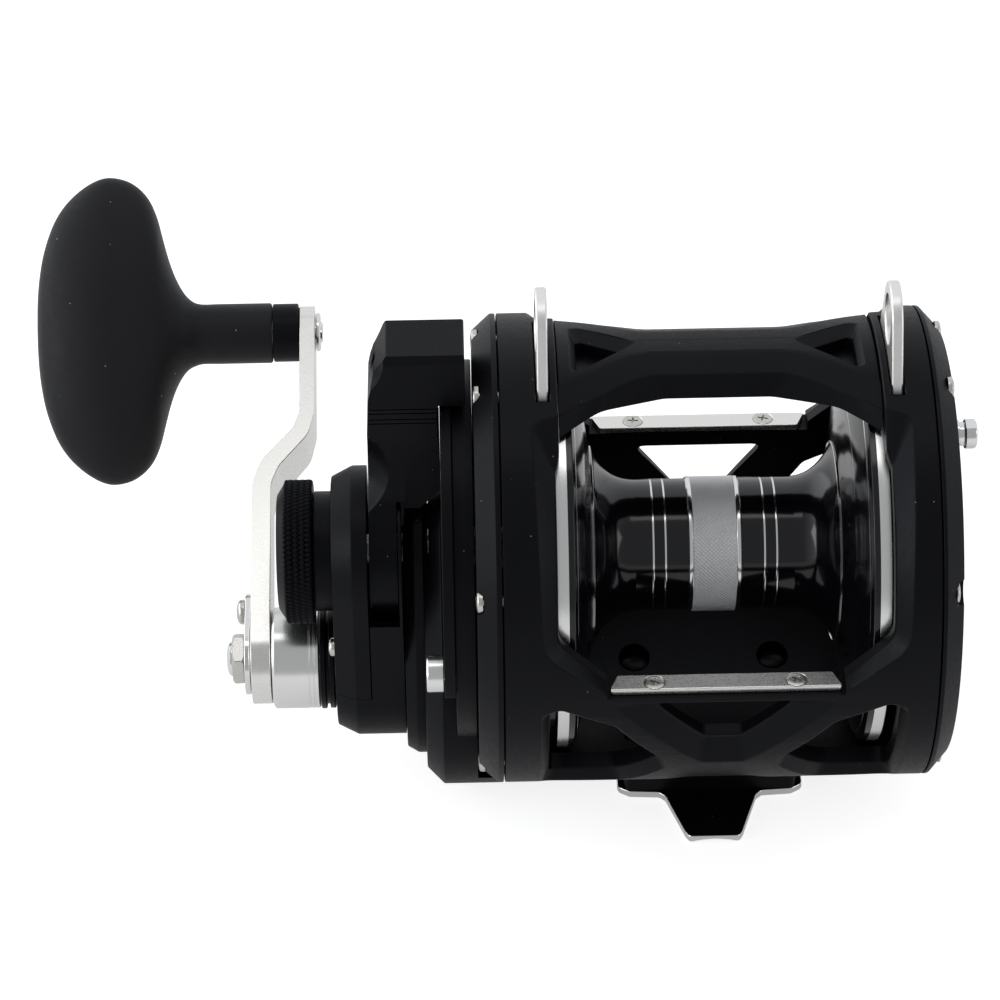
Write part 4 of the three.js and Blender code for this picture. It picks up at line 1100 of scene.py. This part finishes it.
world = bpy.data.worlds.new("studio")
bpy.context.scene.world = world
world.use_nodes = True
tree = world.node_tree
tree.nodes.clear()


def world_node(kind, **inputs):
    node = tree.nodes.new(kind)
    for key, value in inputs.items():
        node.inputs[key].default_value = value
    return node


direction = world_node("ShaderNodeTexCoord").outputs["Generated"]
facing = tree.nodes.new("ShaderNodeVectorMath")
facing.operation = "DOT_PRODUCT"
facing.inputs[1].default_value = -towards
tree.links.new(direction, facing.inputs[0])


def smooth_map(source, values):
    node = tree.nodes.new("ShaderNodeMapRange")
    node.interpolation_type = "SMOOTHSTEP"
    for i, v in enumerate(values):
        node.inputs[i + 1].default_value = v
    tree.links.new(source, node.inputs[0])
    return node.outputs[0]


parts = tree.nodes.new("ShaderNodeSeparateXYZ")
tree.links.new(direction, parts.inputs[0])
product = tree.nodes.new("ShaderNodeMath")
product.operation = "MULTIPLY"
tree.links.new(smooth_map(facing.outputs["Value"], (0.15, 0.72, 1.0, 0.5)), product.inputs[0])
tree.links.new(smooth_map(parts.outputs["X"], (-0.9, -0.3, 2.0, 0.8)), product.inputs[1])
soft = world_node("ShaderNodeBackground", Color=(0.95, 0.97, 1.0, 1))
tree.links.new(product.outputs[0], soft.inputs["Strength"])
plain = world_node("ShaderNodeBackground", Color=(1, 1, 1, 1), Strength=1.0)
path = tree.nodes.new("ShaderNodeLightPath")
mixer = tree.nodes.new("ShaderNodeMixShader")
tree.links.new(path.outputs["Is Camera Ray"], mixer.inputs[0])
tree.links.new(soft.outputs[0], mixer.inputs[1])
tree.links.new(plain.outputs[0], mixer.inputs[2])
tree.links.new(mixer.outputs[0], tree.nodes.new("ShaderNodeOutputWorld").inputs[0])


def softbox(name, place, target, size, power, tint=(1, 1, 1)):
    data = bpy.data.lights.new(name, "AREA")
    data.shape, data.size, data.size_y, data.energy = "RECTANGLE", *size, power
    data.color = tint
    lamp = bpy.data.objects.new(name, data)
    bpy.context.scene.collection.objects.link(lamp)
    lamp.location = place
    aim = Vector(target) - Vector(place)
    lamp.rotation_mode = "QUATERNION"
    lamp.rotation_quaternion = aim.to_track_quat("-Z", "Y")
    return lamp


softbox("top_box", (0.0, -0.05, 1.2), (0, 0, 0.06), (0.7, 0.3), 0.9)
softbox("left_box", (-1.0, -0.45, 0.5), (-0.05, 0, 0.06), (0.35, 0.7), 2.4)
softbox("right_box", (1.0, -0.45, 0.45), (0, 0, 0.06), (0.35, 0.7), 1.4)

bpy.context.scene.view_settings.view_transform = "Standard"
bpy.context.scene.view_settings.look = "None"
